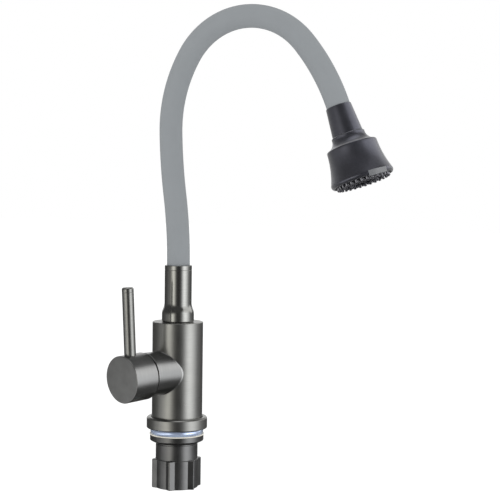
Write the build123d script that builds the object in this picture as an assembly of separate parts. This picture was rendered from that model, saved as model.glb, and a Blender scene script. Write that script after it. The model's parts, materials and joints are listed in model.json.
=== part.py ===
from build123d import *
import os
from math import cos, pi, radians, sin

# Flexible spout kitchen mixer, in millimetres.
# The origin is the middle of the flange's underside, where it stands on the worktop, with Z up.
# The spout bends in the XZ plane and reaches towards +X. The handle points to the side.

os.makedirs("parts", exist_ok=True)

# Column and flange
BODY_R = 22.5
BODY_TOP = 95.0
BODY_FOOT = 8.0
FLANGE_R = 27.0
FLANGE_TOP = 10.1
FLANGE_CHAMFER = 1.1
GROOVE_WIDTH = 0.6
EDGE = 0.7
FLANGE_BORE_R = 16.7

# Stem through the worktop, an M33 x 1.5 thread on a hollow tube
SHANK_R = 16.4
SHANK_BORE_R = 13.4
SHANK_TOP = 18.0
SHANK_BOTTOM = -51.5
THREAD_PITCH = 1.5
THREAD_DEPTH = 0.55
THREAD_RUN_OUT = -10.0
THREAD_CUT = 0.42

# Parts that clamp the worktop
GASKET_R = 23.6
GASKET_BOTTOM = -5.0
GASKET_TOP = 3.4
RECESS_R = 24.1
RECESS_TOP = 3.5
SEAL_R = 24.3
SEAL_BOTTOM = -6.0
WASHER_R = 23.9
WASHER_CONE_TOP = -10.9
WASHER_CONE_R = 18.8
WASHER_BOTTOM = -13.3
WASHER_BORE_R = 16.8
WASHER_LIP = 0.7
GASKET_BORE_R = 17.0
GASKET_BULGE = 0.5
NUT_TOP = -14.2
NUT_COLLAR_R = 18.7
NUT_RIBS_TOP = -27.5
NUT_BOTTOM = -53.2
NUT_CORE_R = 19.3
NUT_CORE_EDGE = 0.5
NUT_RIB_R = 22.3
NUT_RIB_FOOT = 4.0
NUT_RIB_CREST = 0.5
NUT_RIBS = 6
NUT_FIRST_RIB = 41.4
NUT_BORE_R = 16.5

# Water inlets for two M10 x 1 hoses, and the passages of the casting
INLET_THREAD_R = 4.5
INLET_DEPTH = 12.0
INLET_SPREAD = 6.75
INLET_BACK = 1.5
INLET_PASSAGE_R = 3.2
PORT_R = 3.0
OUTLET_BACK = 6.5
OUTLET_R = 3.9
PORT_DROP = 3.1
OUTLET_RISE = 5.0

# Handle side: distances run outwards from the column's axis
HANDLE_AZIMUTH = -109.5
HANDLE_Z = 50.6
HOUSING_R = 19.3
HOUSING_END = 38.6
CHAMBER_R = 17.8
CHAMBER_FLOOR = 5.0
PIVOT_OUT = 28.0
LEVER_LEAN = 3.3
MOUTH_ROOM = 3.0

# Cartridge of 35 mm
CASE_R = 17.4
CASE_BASE = 5.2
CASE_BASE_TOP = 9.2
CASE_SHOULDER = 29.0
CASE_END = 35.0
CASE_NECK_R = 14.7
CASE_BORE_R = 14.2
CASE_MOUTH_R = 11.6
SEAL_POCKET_R = 4.7
SEAL_POCKET_DEPTH = 1.4
DISC_R = 14.1
DISC_TOP = 13.0
SLIDER_R = 11.3
SLIDER_TOP = 17.6
SLIDER_LOW = 2.1
SLIDER_POCKET = 3.2
POCKET_WIDTH = 5.6
POCKET_HEIGHT = 6.2
HOLLOW_HALF_WIDTH = 8.5
HOLLOW_HALF_HEIGHT = 5.5
HOLLOW_DEPTH = 1.2
HOLLOW_LOW = 3.1
BALL_OUT = 17.0
BALL_R = 2.4
CARRIER_R = 13.8
CARRIER_BOTTOM = 17.9
CARRIER_SHOULDER = 28.7
CARRIER_END = 34.6
CARRIER_NECK_R = 11.2
STEM_ROOM = 8.4
ROOM_HEIGHT = 13.6
LOWER_ROOM_RISE = 3.0
UPPER_ROOM_DROP = 2.4
BOSS_ROOM = 11.0
BOSS_ROOM_LENGTH = 9.6
STEM_WIDTH = 7.0
STEM_END = 59.0
STEM_ARM_R = 1.9
STEM_BOSS_R = 4.2
PIN_R = 1.5
PIN_LENGTH = 20.0
CART_NUT_R = 17.7
CART_NUT_BORE_R = 15.0
CART_NUT_END = 36.2
CART_NUT_SLOT = 3.0
BONNET_END = 37.4
BONNET_BORE_R = 12.2
BONNET_ROUND = 0.4

# Handle
CAP_R = 20.7
CAP_BORE_R = 19.75
CAP_REAR = 40.75
CAP_FACE = 65.0
CAP_WEB = 49.7
CAP_CHAMFER = 0.7
CAP_REAR_ROUND = 0.3
STEM_END_ROOM = 0.4
LEVER_R = 5.1
LEVER_OUT = 54.5
LEVER_TOP = 79.3
LEVER_TAIL_R = 4.0
LEVER_ROUND = 1.2
SCREW_R = 2.4
SCREW_FOOT = 15.0
KEY_R = 1.3
KEY_DEPTH = 2.0

# Spout foot
SOCKET_R = 11.0
SOCKET_BOTTOM = 73.0
STEM_R = 10.7
STEM_BOTTOM = 74.5
STEM_BORE_R = 6.0
STEM_COLLAR_R = 11.3
RING_GROOVE_R = 9.2
RING_GROOVES = [(76.0, 78.2), (89.8, 92.0)]
KEEPER_GROOVE = (81.5, 86.5)
GLIDE_TOP = 95.4
GLIDE_R = 13.4
NECK_FOOT_R = 14.25
NECK_R = 12.05
NECK_FLARE_BOTTOM = 101.5
NECK_FLARE_TOP = 112.0
NECK_TOP = 145.3
NECK_SEAT = 100.0
NECK_THREAD_R = 9.5
NECK_THREAD_TOP = 112.0
NECK_SHOULDER = 114.0
NECK_LOW_BORE_R = 11.5
NECK_EDGE = 0.4
FLARE_BULGE = 0.28
GLIDE_GAP = 0.2
KEEPER_Z = 84.0
KEEPER_R = 2.4
KEEPER_TIP_R = 1.9
KEEPER_TIP_IN = 9.6
KEEPER_SHOULDER = 12.0
KEEPER_END = 21.6
O_RING_R = 0.87
FIT = 0.05

# Hose: lengths run along its middle line from HOSE_START, and a positive turn goes left
HOSE_R = 10.15
HOSE_BORE_R = 7.9
CORE_R = 7.85
CORE_BORE_R = 5.85
TUBE_R = 5.5
TUBE_BORE_R = 3.6
NIPPLE_R = 3.5
NIPPLE_BORE_R = 2.5
NIPPLE_LENGTH = 15.0
NIPPLE_ROOT = 4.0
HOSE_START = 147.5
HOSE_IN_NECK = HOSE_START - NECK_SHOULDER
HOSE_IN_HEAD = 12.0
HOSE_ARCS = [(7.94, 435.0), (-6.46, 492.0), (-32.7, 124.65), (-107.85, 67.6), (-20.38, 180.5)]
BEND_MIDDLES = [40.0, 95.0, 165.0, 262.0]
BEND_LENGTHS = [28.0, 28.0, 30.0, 32.0]

# Spray head: lengths run along its axis from the top of its sleeve
SLEEVE_TOP_R = 10.95
SLEEVE_FOOT_R = 13.2
SLEEVE_LENGTH = 25.0
SLEEVE_BORE_R = 10.25
SWIVEL_SHOULDER = 15.0
SPIGOT_R = 6.5
SPIGOT_END = 23.8
SPIGOT_BORE_R = 7.0
HOSE_STOP_R = 9.8
RUNNING_GAP = 0.2
SPIGOT_GROOVE = (18.0, 20.2)
SPIGOT_GROOVE_DEPTH = 1.25
CLIP_TOP = 22.8
CLIP_R = 8.4
CLIP_GROOVE = 0.8
CLIP_SLIT = 5.0
SLEEVE_THREAD_R = 11.5
SLEEVE_THREAD_END = 30.0
CLIP_ROOM_R = 9.0
LEDGE_R = 14.35
LEDGE_END = 27.2
SHOULDER_R = 21.8
SHOULDER_AT = 35.9
SKIRT_R = 27.1
SKIRT_WIDEST_AT = 63.2
SKIRT_END = 66.4
SHELL_BORE_TOP_R = 19.4
SHELL_BORE_END_R = 24.3
RIM_BORE_R = 25.2
RIM_BORE_AT = 61.9
CEILING_AT = 38.5
CEILING_MIDDLE_AT = 36.5
MANIFOLD_TOP = 31.0
MANIFOLD_END = 47.9
MANIFOLD_R = 4.5
SHELL_PORT_AT = 41.5
SHELL_PORT_R = 2.0
POST_R = 8.0
POST_END = 57.9
PLATE_R = 25.1
PLATE_TOP = 62.1
PLATE_END = 65.1
MAT_R = 23.7
MAT_TOP = 60.3
MAT_BORE_R = 5.9
TIP_R = 1.45
TIP_END = 68.9
TIP_GAP = 0.15
TIP_TAPER = 3.0
JET_R = 0.45
JET_START = 64.1
TIP_RINGS = [(11.6, 14), (17.0, 22), (22.2, 30)]
INSERT_SHAFT_R = 5.5
INSERT_HEAD_R = 7.6
INSERT_HEAD_AT = 63.5
INSERT_END = 66.9
INSERT_TOP = 48.4
INSERT_BORE_R = 3.6
GRID_R = 0.55
GRID_DEPTH = 1.2
GRID_RINGS = [(1.45, 6), (2.8, 12)]
TAB_ANGLE = 38.0
TAB_HALF = 18.5
TAB_R = 27.9
TAB_BORE_R = 27.25
TAB_TOP = 62.7
TAB_FOOT = 66.55
TAB_END = 67.3
TAB_ROOT_R = 24.0
TAB_ROUND = 0.3
LUG_HALF = 7.0
LUG_DEPTH = 1.1


def tube(r_out, r_in, low, high):
    """A straight round tube about Z, or a rod where the bore is nothing."""
    section = Circle(r_out) - Circle(r_in) if r_in else Circle(r_out)
    return Pos(0, 0, low) * extrude(section, high - low)


def turned(*outline):
    """A solid turned about Z from an outline of radius and height pairs."""
    corners = [(radius, 0, height) for radius, height in outline]
    return revolve(make_face(Polyline(*corners, close=True)), Axis.Z)


def curved(*edges):
    """A solid turned about Z from lines and arcs in the XZ plane."""
    return revolve(make_face(Wire(list(edges))), Axis.Z)


def line(start, end):
    """A straight stretch of an outline, from radius and height pairs."""
    return Line((start[0], 0, start[1]), (end[0], 0, end[1]))


def arc(start, middle, end):
    """A round stretch of an outline through three radius and height pairs."""
    points = [(radius, 0, height) for radius, height in (start, middle, end)]
    return ThreePointArc(*points)


def ring(middle_r, height, wire_r):
    """An O-ring about Z."""
    return Pos(0, 0, height) * Torus(middle_r, wire_r)


def key_socket(mouth):
    """The six-sided hole for a key, cut down from a screw's end."""
    return Pos(0, 0, mouth - KEY_DEPTH) * extrude(RegularPolygon(KEY_R, 6), KEY_DEPTH + 1)


def around(piece, count, start=0.0):
    """Equal copies of a piece, evenly turned about Z."""
    return [Rot(0, 0, start + 360.0 / count * i) * piece for i in range(count)]


def write(node, *solids):
    """One file for one node, with each separate solid in it."""
    shape = solids[0] if len(solids) == 1 else Compound(list(solids))
    export_step(shape, f"parts/{node}.step")


# The handle's own frame has Z outwards, Y up and X to the side.
out_x, out_y = cos(radians(HANDLE_AZIMUTH)), sin(radians(HANDLE_AZIMUTH))
handle_plane = Plane(origin=(0, 0, HANDLE_Z), x_dir=(-out_y, out_x, 0), z_dir=(out_x, out_y, 0))
handle_place = handle_plane.location
lean = Pos(0, 0, PIVOT_OUT) * Rot(LEVER_LEAN, 0, 0) * Pos(0, 0, -PIVOT_OUT)


def on_handle_side(piece):
    """A piece made in the handle's frame, put in its place."""
    return handle_place * piece


def on_handle(piece):
    """The same for a piece that leans with the lever."""
    return handle_place * lean * piece


# Column casting
def mixer_body():
    """The cast column with its side housing, whose mouth is cut to the closed cap's lean."""
    column = tube(BODY_R, 0, BODY_FOOT, BODY_TOP)
    column = chamfer(column.edges().group_by(Axis.Z)[-1], EDGE)
    body = column + on_handle_side(tube(HOUSING_R, 0, 0, HOUSING_END + MOUTH_ROOM))
    body -= on_handle(tube(HOUSING_R + MOUTH_ROOM, 0, HOUSING_END, HOUSING_END + 2 * MOUTH_ROOM))
    body -= on_handle_side(tube(CHAMBER_R, 0, CHAMBER_FLOOR, HOUSING_END + MOUTH_ROOM))
    body -= tube(SOCKET_R, 0, SOCKET_BOTTOM, BODY_TOP + 1)
    body -= tube(SHANK_R + FIT, 0, BODY_FOOT - 1, SHANK_TOP)
    port_z = HANDLE_Z - PORT_DROP
    for side in (-1, 1):
        at = handle_plane.from_local_coords((side * INLET_SPREAD, 0, -INLET_BACK))
        rise = Pos(at.X, at.Y, 0)
        body -= rise * tube(INLET_THREAD_R, 0, SHANK_TOP - 1, SHANK_TOP + INLET_DEPTH)
        body -= rise * tube(INLET_PASSAGE_R, 0, SHANK_TOP, port_z)
        level = Pos(side * INLET_SPREAD, -PORT_DROP, 0)
        body -= on_handle_side(level * tube(PORT_R, 0, -INLET_BACK, CHAMBER_FLOOR + 1))
    outlet_up = handle_plane.from_local_coords((0, 0, -OUTLET_BACK))
    outlet_z = HANDLE_Z + OUTLET_RISE
    body -= Pos(outlet_up.X, outlet_up.Y, 0) * tube(OUTLET_R, 0, outlet_z, SOCKET_BOTTOM + 1)
    body -= on_handle_side(Pos(0, OUTLET_RISE, 0) * tube(PORT_R, 0, -OUTLET_BACK, CHAMBER_FLOOR + 1))
    keeper_hole = Pos(-BODY_R - 1, 0, KEEPER_Z) * Rot(0, 90, 0) * tube(KEEPER_R + FIT, 0, 0, BODY_R)
    return body - keeper_hole


def retaining_screw():
    """A grub screw at the column's back, whose tip runs in the groove of the spout's stem."""
    screw = tube(KEEPER_TIP_R, 0, KEEPER_TIP_IN, KEEPER_SHOULDER)
    screw += tube(KEEPER_R, 0, KEEPER_SHOULDER, KEEPER_END)
    screw -= key_socket(KEEPER_END)
    return Pos(0, 0, KEEPER_Z) * Rot(0, -90, 0) * screw


def base_flange():
    """The round flange, with a groove round the column's foot and a recess for the gasket."""
    c = FLANGE_CHAMFER
    foot_groove_r = BODY_R + GROOVE_WIDTH
    return turned(
        (FLANGE_BORE_R, RECESS_TOP),
        (RECESS_R, RECESS_TOP),
        (RECESS_R, 0),
        (FLANGE_R - EDGE, 0),
        (FLANGE_R, EDGE),
        (FLANGE_R, FLANGE_TOP - c),
        (FLANGE_R - c, FLANGE_TOP),
        (foot_groove_r, FLANGE_TOP),
        (foot_groove_r, BODY_FOOT),
        (FLANGE_BORE_R, BODY_FOOT),
    )


def base_gasket():
    """The soft seal in the flange, whose lower part stands out with a rounded side."""
    bulge = GASKET_BULGE
    return curved(
        line((GASKET_BORE_R, GASKET_BOTTOM), (GASKET_R - bulge, GASKET_BOTTOM)),
        arc((GASKET_R - bulge, GASKET_BOTTOM), (GASKET_R, GASKET_BOTTOM / 2), (GASKET_R - bulge, 0)),
        line((GASKET_R - bulge, 0), (GASKET_R - bulge, GASKET_TOP)),
        line((GASKET_R - bulge, GASKET_TOP), (GASKET_BORE_R, GASKET_TOP)),
        line((GASKET_BORE_R, GASKET_TOP), (GASKET_BORE_R, GASKET_BOTTOM)),
    )


def threaded_shank():
    """The hollow stem. Its thread is cut as rings of the thread's real pitch and depth."""
    shank = tube(SHANK_R, SHANK_BORE_R, SHANK_BOTTOM, SHANK_TOP)
    shank = chamfer(shank.edges().group_by(Axis.Z)[0], EDGE)
    count = int((THREAD_RUN_OUT - SHANK_BOTTOM) / THREAD_PITCH)
    half = THREAD_PITCH * THREAD_CUT
    for i in range(count):
        middle = SHANK_BOTTOM + THREAD_PITCH * (i + 1)
        shank -= turned(
            (SHANK_R - THREAD_DEPTH, middle),
            (SHANK_R + FIT, middle - half),
            (SHANK_R + FIT, middle + half),
        )
    return shank


def clamp_seal():
    """The thin pale washer on top of the clamp washer."""
    return tube(SEAL_R, GASKET_BORE_R, SEAL_BOTTOM, GASKET_BOTTOM)


def clamp_washer():
    """The dark washer, a short cylinder over a cone."""
    return turned(
        (WASHER_BORE_R, SEAL_BOTTOM),
        (WASHER_R, SEAL_BOTTOM),
        (WASHER_R, WASHER_CONE_TOP),
        (WASHER_CONE_R, WASHER_BOTTOM),
        (WASHER_CONE_R - WASHER_LIP, WASHER_BOTTOM),
        (WASHER_CONE_R - WASHER_LIP, NUT_TOP),
        (WASHER_BORE_R, NUT_TOP),
    )


def wing_nut():
    """The plastic nut, a plain collar over a grip with six wedge-shaped ribs."""
    grip = turned(
        (0, NUT_BOTTOM),
        (NUT_CORE_R, NUT_BOTTOM),
        (NUT_CORE_R, NUT_RIBS_TOP - NUT_CORE_EDGE),
        (NUT_CORE_R - NUT_CORE_EDGE, NUT_RIBS_TOP),
        (0, NUT_RIBS_TOP),
    )
    foot_x = NUT_CORE_R - 1.0
    foot_y = NUT_RIB_FOOT + 1.0
    wedge = Polyline(
        (foot_x, -foot_y), (NUT_RIB_R, -NUT_RIB_CREST), (NUT_RIB_R, NUT_RIB_CREST), (foot_x, foot_y),
        close=True,
    )
    rib = Pos(0, 0, NUT_BOTTOM) * extrude(make_face(wedge), NUT_RIBS_TOP - NUT_BOTTOM)
    nut = grip + around(rib, NUT_RIBS, NUT_FIRST_RIB)
    nut += tube(NUT_COLLAR_R, 0, NUT_RIBS_TOP - 1, NUT_TOP)
    return nut - tube(NUT_BORE_R, 0, NUT_BOTTOM - 1, NUT_TOP + 1)


# Cartridge, in the handle's frame
def port_places():
    """Where the two inlets and the outlet meet the chamber's floor."""
    return [(-INLET_SPREAD, -PORT_DROP), (INLET_SPREAD, -PORT_DROP), (0.0, OUTLET_RISE)]


def cartridge_case():
    """The plastic case, open at the front for the control stem."""
    case = turned(
        (CASE_R, CASE_BASE),
        (CASE_R, CASE_SHOULDER),
        (CASE_NECK_R, CASE_SHOULDER),
        (CASE_NECK_R, CASE_END),
        (CASE_MOUTH_R, CASE_END),
        (CASE_MOUTH_R, CASE_SHOULDER),
        (CASE_BORE_R, CASE_SHOULDER),
        (CASE_BORE_R, CASE_BASE_TOP),
        (0, CASE_BASE_TOP),
        (0, CASE_BASE),
    )
    for x, y in port_places():
        case -= Pos(x, y, 0) * tube(PORT_R, 0, CASE_BASE - 1, CASE_BASE_TOP + 1)
        case -= Pos(x, y, 0) * tube(SEAL_POCKET_R, 0, CASE_BASE - 1, CASE_BASE + SEAL_POCKET_DEPTH)
    return on_handle_side(case)


def cartridge_seals():
    """Three equal rubber rings between the case and the chamber's floor."""
    seal = tube(SEAL_POCKET_R - 0.1, PORT_R + 0.3, CHAMBER_FLOOR, CASE_BASE + SEAL_POCKET_DEPTH)
    return [on_handle_side(Pos(x, y, 0) * seal) for x, y in port_places()]


def ceramic_disc_fixed():
    """The lower disc, with the three ports."""
    disc = tube(DISC_R, 0, CASE_BASE_TOP, DISC_TOP)
    for x, y in port_places():
        disc -= Pos(x, y, 0) * tube(PORT_R, 0, CASE_BASE_TOP - 1, DISC_TOP + 1)
    return on_handle_side(disc)


def ball_height():
    """How far the stem's ball stands above the cartridge's axis when the lever leans at rest."""
    return (PIVOT_OUT - BALL_OUT) * sin(radians(LEVER_LEAN))


def ceramic_disc_moving():
    """The upper disc, with a mixing hollow below and a pocket for the stem's ball above."""
    disc = Pos(0, -SLIDER_LOW, 0) * tube(SLIDER_R, 0, DISC_TOP, SLIDER_TOP)
    hollow = extrude(Ellipse(HOLLOW_HALF_WIDTH, HOLLOW_HALF_HEIGHT), HOLLOW_DEPTH)
    pocket = extrude(Rectangle(POCKET_WIDTH, POCKET_HEIGHT), SLIDER_POCKET)
    disc -= Pos(0, -HOLLOW_LOW, DISC_TOP) * hollow
    disc -= Pos(0, ball_height(), SLIDER_TOP - SLIDER_POCKET) * pocket
    return on_handle_side(disc)


def disc_carrier():
    """The turning block that holds the stem's hinge pin and turns the upper disc."""
    carrier = tube(CARRIER_R, 0, CARRIER_BOTTOM, CARRIER_SHOULDER)
    carrier += tube(CARRIER_NECK_R, 0, CARRIER_SHOULDER, CARRIER_END)
    low_z = (CARRIER_BOTTOM + PIVOT_OUT) / 2
    high_z = (CARRIER_END + PIVOT_OUT) / 2
    lower = Pos(0, LOWER_ROOM_RISE, low_z) * Box(STEM_ROOM, ROOM_HEIGHT, PIVOT_OUT - CARRIER_BOTTOM)
    upper = Pos(0, -UPPER_ROOM_DROP, high_z) * Box(STEM_ROOM, ROOM_HEIGHT, CARRIER_END - PIVOT_OUT)
    around_pin = Pos(0, 0, PIVOT_OUT) * Box(STEM_ROOM, BOSS_ROOM, BOSS_ROOM_LENGTH)
    return on_handle_side(carrier - lower - upper - around_pin - cross_rod(PIN_R, PIN_LENGTH))


def cross_rod(radius, length):
    """A rod across the cartridge, through the lever's pivot."""
    return Pos(-length / 2, 0, PIVOT_OUT) * Rot(0, 90, 0) * tube(radius, 0, 0, length)


def carrier_pin():
    """The steel pin that the stem tilts on."""
    return on_handle_side(cross_rod(PIN_R, PIN_LENGTH))


def control_stem():
    """The metal stem: square outside, a boss on the pin, and a ball in the moving disc."""
    shaft = Pos(0, 0, PIVOT_OUT) * extrude(Rectangle(STEM_WIDTH, STEM_WIDTH), STEM_END - PIVOT_OUT)
    boss = cross_rod(STEM_BOSS_R, STEM_WIDTH)
    arm = tube(STEM_ARM_R, 0, BALL_OUT, PIVOT_OUT)
    stem = shaft + boss + arm + Pos(0, 0, BALL_OUT) * Sphere(BALL_R)
    return on_handle(stem - cross_rod(PIN_R + FIT, STEM_WIDTH + 2))


def cartridge_nut():
    """The brass nut that presses the case into the chamber, with four slots for its key."""
    nut = tube(CART_NUT_R, CART_NUT_BORE_R, CASE_SHOULDER, CART_NUT_END)
    slot = Pos(CART_NUT_R, 0, CART_NUT_END) * Box(CART_NUT_R, CART_NUT_SLOT, CART_NUT_SLOT)
    for cut in around(slot, 4, 45.0):
        nut -= cut
    return on_handle_side(nut)


def bonnet_ring():
    """The thin cover over the cartridge nut, which shows in the gap when the handle is open."""
    cover = turned(
        (CHAMBER_R - 2 * FIT, CART_NUT_END),
        (CHAMBER_R - 2 * FIT, BONNET_END - BONNET_ROUND),
        (CHAMBER_R - 2 * FIT - BONNET_ROUND, BONNET_END),
        (BONNET_BORE_R, BONNET_END),
        (BONNET_BORE_R, CART_NUT_END),
    )
    return on_handle_side(cover)


# Handle
def handle_cap():
    """The round cap: hollow at the rear, where it swings over the housing."""
    cap = turned(
        (0, CAP_WEB),
        (CAP_BORE_R, CAP_WEB),
        (CAP_BORE_R, CAP_REAR),
        (CAP_R - CAP_REAR_ROUND, CAP_REAR),
        (CAP_R, CAP_REAR + CAP_REAR_ROUND),
        (CAP_R, CAP_FACE - CAP_CHAMFER),
        (CAP_R - CAP_CHAMFER, CAP_FACE),
        (0, CAP_FACE),
    )
    socket = Pos(0, 0, CAP_WEB - 1) * extrude(
        Rectangle(STEM_WIDTH + 2 * FIT, STEM_WIDTH + 2 * FIT), STEM_END - CAP_WEB + 1 + STEM_END_ROOM
    )
    upwards = Pos(0, 0, LEVER_OUT) * Rot(-90, 0, 0)
    lever_hole = upwards * tube(LEVER_TAIL_R + FIT, 0, 0, CAP_R + 1)
    screw_hole = Pos(0, 0, LEVER_OUT) * Rot(90, 0, 0) * tube(SCREW_R + FIT, 0, 0, CAP_R + 1)
    return on_handle(cap - socket - lever_hole - screw_hole)


def lever_pin():
    """The round lever, screwed into the cap, with a softly rounded top."""
    shaft = tube(LEVER_R, 0, CAP_R - 2, LEVER_TOP)
    shaft = fillet(shaft.edges().group_by(Axis.Z)[-1], LEVER_ROUND)
    tail = tube(LEVER_TAIL_R, 0, STEM_WIDTH / 2, CAP_R)
    cap_side = Rot(90, 0, 0) * Pos(0, 0, -2 * LEVER_R) * tube(CAP_R, 0, 0, 4 * LEVER_R)
    pin = (shaft - cap_side) + tail
    return on_handle(Pos(0, 0, LEVER_OUT) * Rot(-90, 0, 0) * pin)


def handle_screw():
    """The grub screw under the cap that locks it on the stem."""
    screw = tube(SCREW_R, 0, STEM_WIDTH / 2, SCREW_FOOT)
    screw -= key_socket(SCREW_FOOT)
    return on_handle(Pos(0, 0, LEVER_OUT) * Rot(90, 0, 0) * screw)


# Spout foot
def spout_stem():
    """The brass nipple that turns in the column, with two seal grooves and the keeper's groove."""
    nipple_end = NECK_THREAD_TOP + NIPPLE_LENGTH
    bore_end = NECK_THREAD_TOP - NIPPLE_ROOT
    stem = turned(
        (STEM_BORE_R, STEM_BOTTOM),
        (STEM_R, STEM_BOTTOM),
        (STEM_R, GLIDE_TOP),
        (STEM_COLLAR_R, GLIDE_TOP),
        (STEM_COLLAR_R, NECK_SEAT),
        (NECK_THREAD_R, NECK_SEAT),
        (NECK_THREAD_R, NECK_THREAD_TOP),
        (NIPPLE_R, NECK_THREAD_TOP),
        (NIPPLE_R, nipple_end),
        (NIPPLE_BORE_R, nipple_end),
        (NIPPLE_BORE_R, bore_end),
        (STEM_BORE_R, bore_end),
    )
    for low, high in RING_GROOVES + [KEEPER_GROOVE]:
        stem -= tube(STEM_R + 1, RING_GROOVE_R, low, high)
    return stem


def spout_o_rings():
    """The two equal rings that seal the stem in the column."""
    middle_r = RING_GROOVE_R + O_RING_R
    return [ring(middle_r, (low + high) / 2, O_RING_R) for low, high in RING_GROOVES]


def glide_ring():
    """The black ring between the column's top and the neck."""
    return tube(GLIDE_R, STEM_R + GLIDE_GAP, BODY_TOP, GLIDE_TOP)


def neck_sleeve():
    """The flared metal tube over the foot of the hose."""
    middle_z = (NECK_FLARE_BOTTOM + NECK_FLARE_TOP) / 2
    middle_r = (NECK_FOOT_R + NECK_R) / 2
    lower = arc(
        (NECK_FOOT_R, NECK_FLARE_BOTTOM),
        ((NECK_FOOT_R + middle_r) / 2 + FLARE_BULGE, (NECK_FLARE_BOTTOM + middle_z) / 2),
        (middle_r, middle_z),
    )
    upper = arc(
        (middle_r, middle_z),
        ((NECK_R + middle_r) / 2 - FLARE_BULGE, (NECK_FLARE_TOP + middle_z) / 2),
        (NECK_R, NECK_FLARE_TOP),
    )
    return curved(
        line((NECK_LOW_BORE_R, GLIDE_TOP), (NECK_FOOT_R - NECK_EDGE, GLIDE_TOP)),
        line((NECK_FOOT_R - NECK_EDGE, GLIDE_TOP), (NECK_FOOT_R, GLIDE_TOP + NECK_EDGE)),
        line((NECK_FOOT_R, GLIDE_TOP + NECK_EDGE), (NECK_FOOT_R, NECK_FLARE_BOTTOM)),
        lower,
        upper,
        line((NECK_R, NECK_FLARE_TOP), (NECK_R, NECK_TOP - NECK_EDGE)),
        line((NECK_R, NECK_TOP - NECK_EDGE), (NECK_R - NECK_EDGE, NECK_TOP)),
        line((NECK_R - NECK_EDGE, NECK_TOP), (HOSE_R + FIT, NECK_TOP)),
        line((HOSE_R + FIT, NECK_TOP), (HOSE_R + FIT, NECK_SHOULDER)),
        line((HOSE_R + FIT, NECK_SHOULDER), (TUBE_R + FIT, NECK_SHOULDER)),
        line((TUBE_R + FIT, NECK_SHOULDER), (TUBE_R + FIT, NECK_THREAD_TOP)),
        line((TUBE_R + FIT, NECK_THREAD_TOP), (NECK_THREAD_R + FIT, NECK_THREAD_TOP)),
        line((NECK_THREAD_R + FIT, NECK_THREAD_TOP), (NECK_THREAD_R + FIT, NECK_SEAT)),
        line((NECK_THREAD_R + FIT, NECK_SEAT), (NECK_LOW_BORE_R, NECK_SEAT)),
        line((NECK_LOW_BORE_R, NECK_SEAT), (NECK_LOW_BORE_R, GLIDE_TOP)),
    )


# Hose
def hose_stretches():
    """Each stretch of the middle line, as its length and how far it turns."""
    stretches = [(HOSE_IN_NECK, 0.0)]
    stretches += [(abs(radians(turn)) * radius, turn) for turn, radius in HOSE_ARCS]
    stretches += [(HOSE_IN_HEAD, 0.0)]
    return stretches


def along_hose(distance):
    """The point of the middle line at a distance from the hose's start, and its heading."""
    x, z, heading, left = 0.0, NECK_SHOULDER, 90.0, distance + HOSE_IN_NECK
    for length, turn in hose_stretches():
        part = min(left, length)
        swing = turn * part / length
        if turn:
            chord = 2 * length / abs(radians(turn)) * sin(abs(radians(swing)) / 2)
        else:
            chord = part
        x += chord * cos(radians(heading + swing / 2))
        z += chord * sin(radians(heading + swing / 2))
        heading += swing
        left -= part
        if left <= 1e-9:
            break
    return x, z, heading


def hose_path(start, end):
    """The middle line between two distances, as lines and tangent arcs."""
    edges, done = [], -HOSE_IN_NECK
    for length, turn in hose_stretches():
        low, high = max(start, done), min(end, done + length)
        done += length
        if high - low < 1e-6:
            continue
        points = [along_hose(d) for d in (low, (low + high) / 2, high)]
        first, middle, last = [(x, 0, z) for x, z, _ in points]
        edges.append(ThreePointArc(first, middle, last) if turn else Line(first, last))
    return Wire(edges)


def hose_layer(start, end, r_out, r_in):
    """One layer of the hose between two distances along it."""
    x, z, heading = along_hose(start)
    forward = (cos(radians(heading)), 0, sin(radians(heading)))
    section = Plane(origin=(x, 0, z), x_dir=(0, 1, 0), z_dir=forward)
    layer = sweep(section * (Circle(r_out) - Circle(r_in)), path=hose_path(start, end))
    expected = pi * (r_out**2 - r_in**2) * (end - start)
    print(f"hose {start:6.1f} to {end:6.1f}: volume {layer.volume:8.0f}, section x length {expected:8.0f}")
    return layer


HOSE_LENGTH = sum(length for length, _ in hose_stretches()) - HOSE_IN_NECK
HOSE_LAYERS = {
    "hose_sleeve": (HOSE_R, HOSE_BORE_R),
    "hose_core": (CORE_R, CORE_BORE_R),
    "hose_tube": (TUBE_R, TUBE_BORE_R),
}


def write_hose():
    """Stiff spans with short bend zones between them, in each of the three layers."""
    ends = [-HOSE_IN_NECK]
    for middle, length in zip(BEND_MIDDLES, BEND_LENGTHS):
        ends += [middle - length / 2, middle + length / 2]
    ends.append(HOSE_LENGTH)
    for layer, (r_out, r_in) in HOSE_LAYERS.items():
        for i in range(len(ends) - 1):
            kind = "bend" if i % 2 else "span"
            write(f"{layer}_{kind}_{i // 2 + 1}", hose_layer(ends[i], ends[i + 1], r_out, r_in))


# Spray head, whose frame has Z along its axis to the nozzles and X outwards
head_x, head_z, head_heading = along_hose(HOSE_LENGTH - HOSE_IN_HEAD)
head_down = (cos(radians(head_heading)), 0, sin(radians(head_heading)))
head_out = (-head_down[2], 0, head_down[0])
head_place = Plane(origin=(head_x, 0, head_z), x_dir=head_out, z_dir=head_down).location


def on_head(piece):
    """A piece made in the head's frame, put in its place."""
    return head_place * piece


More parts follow.
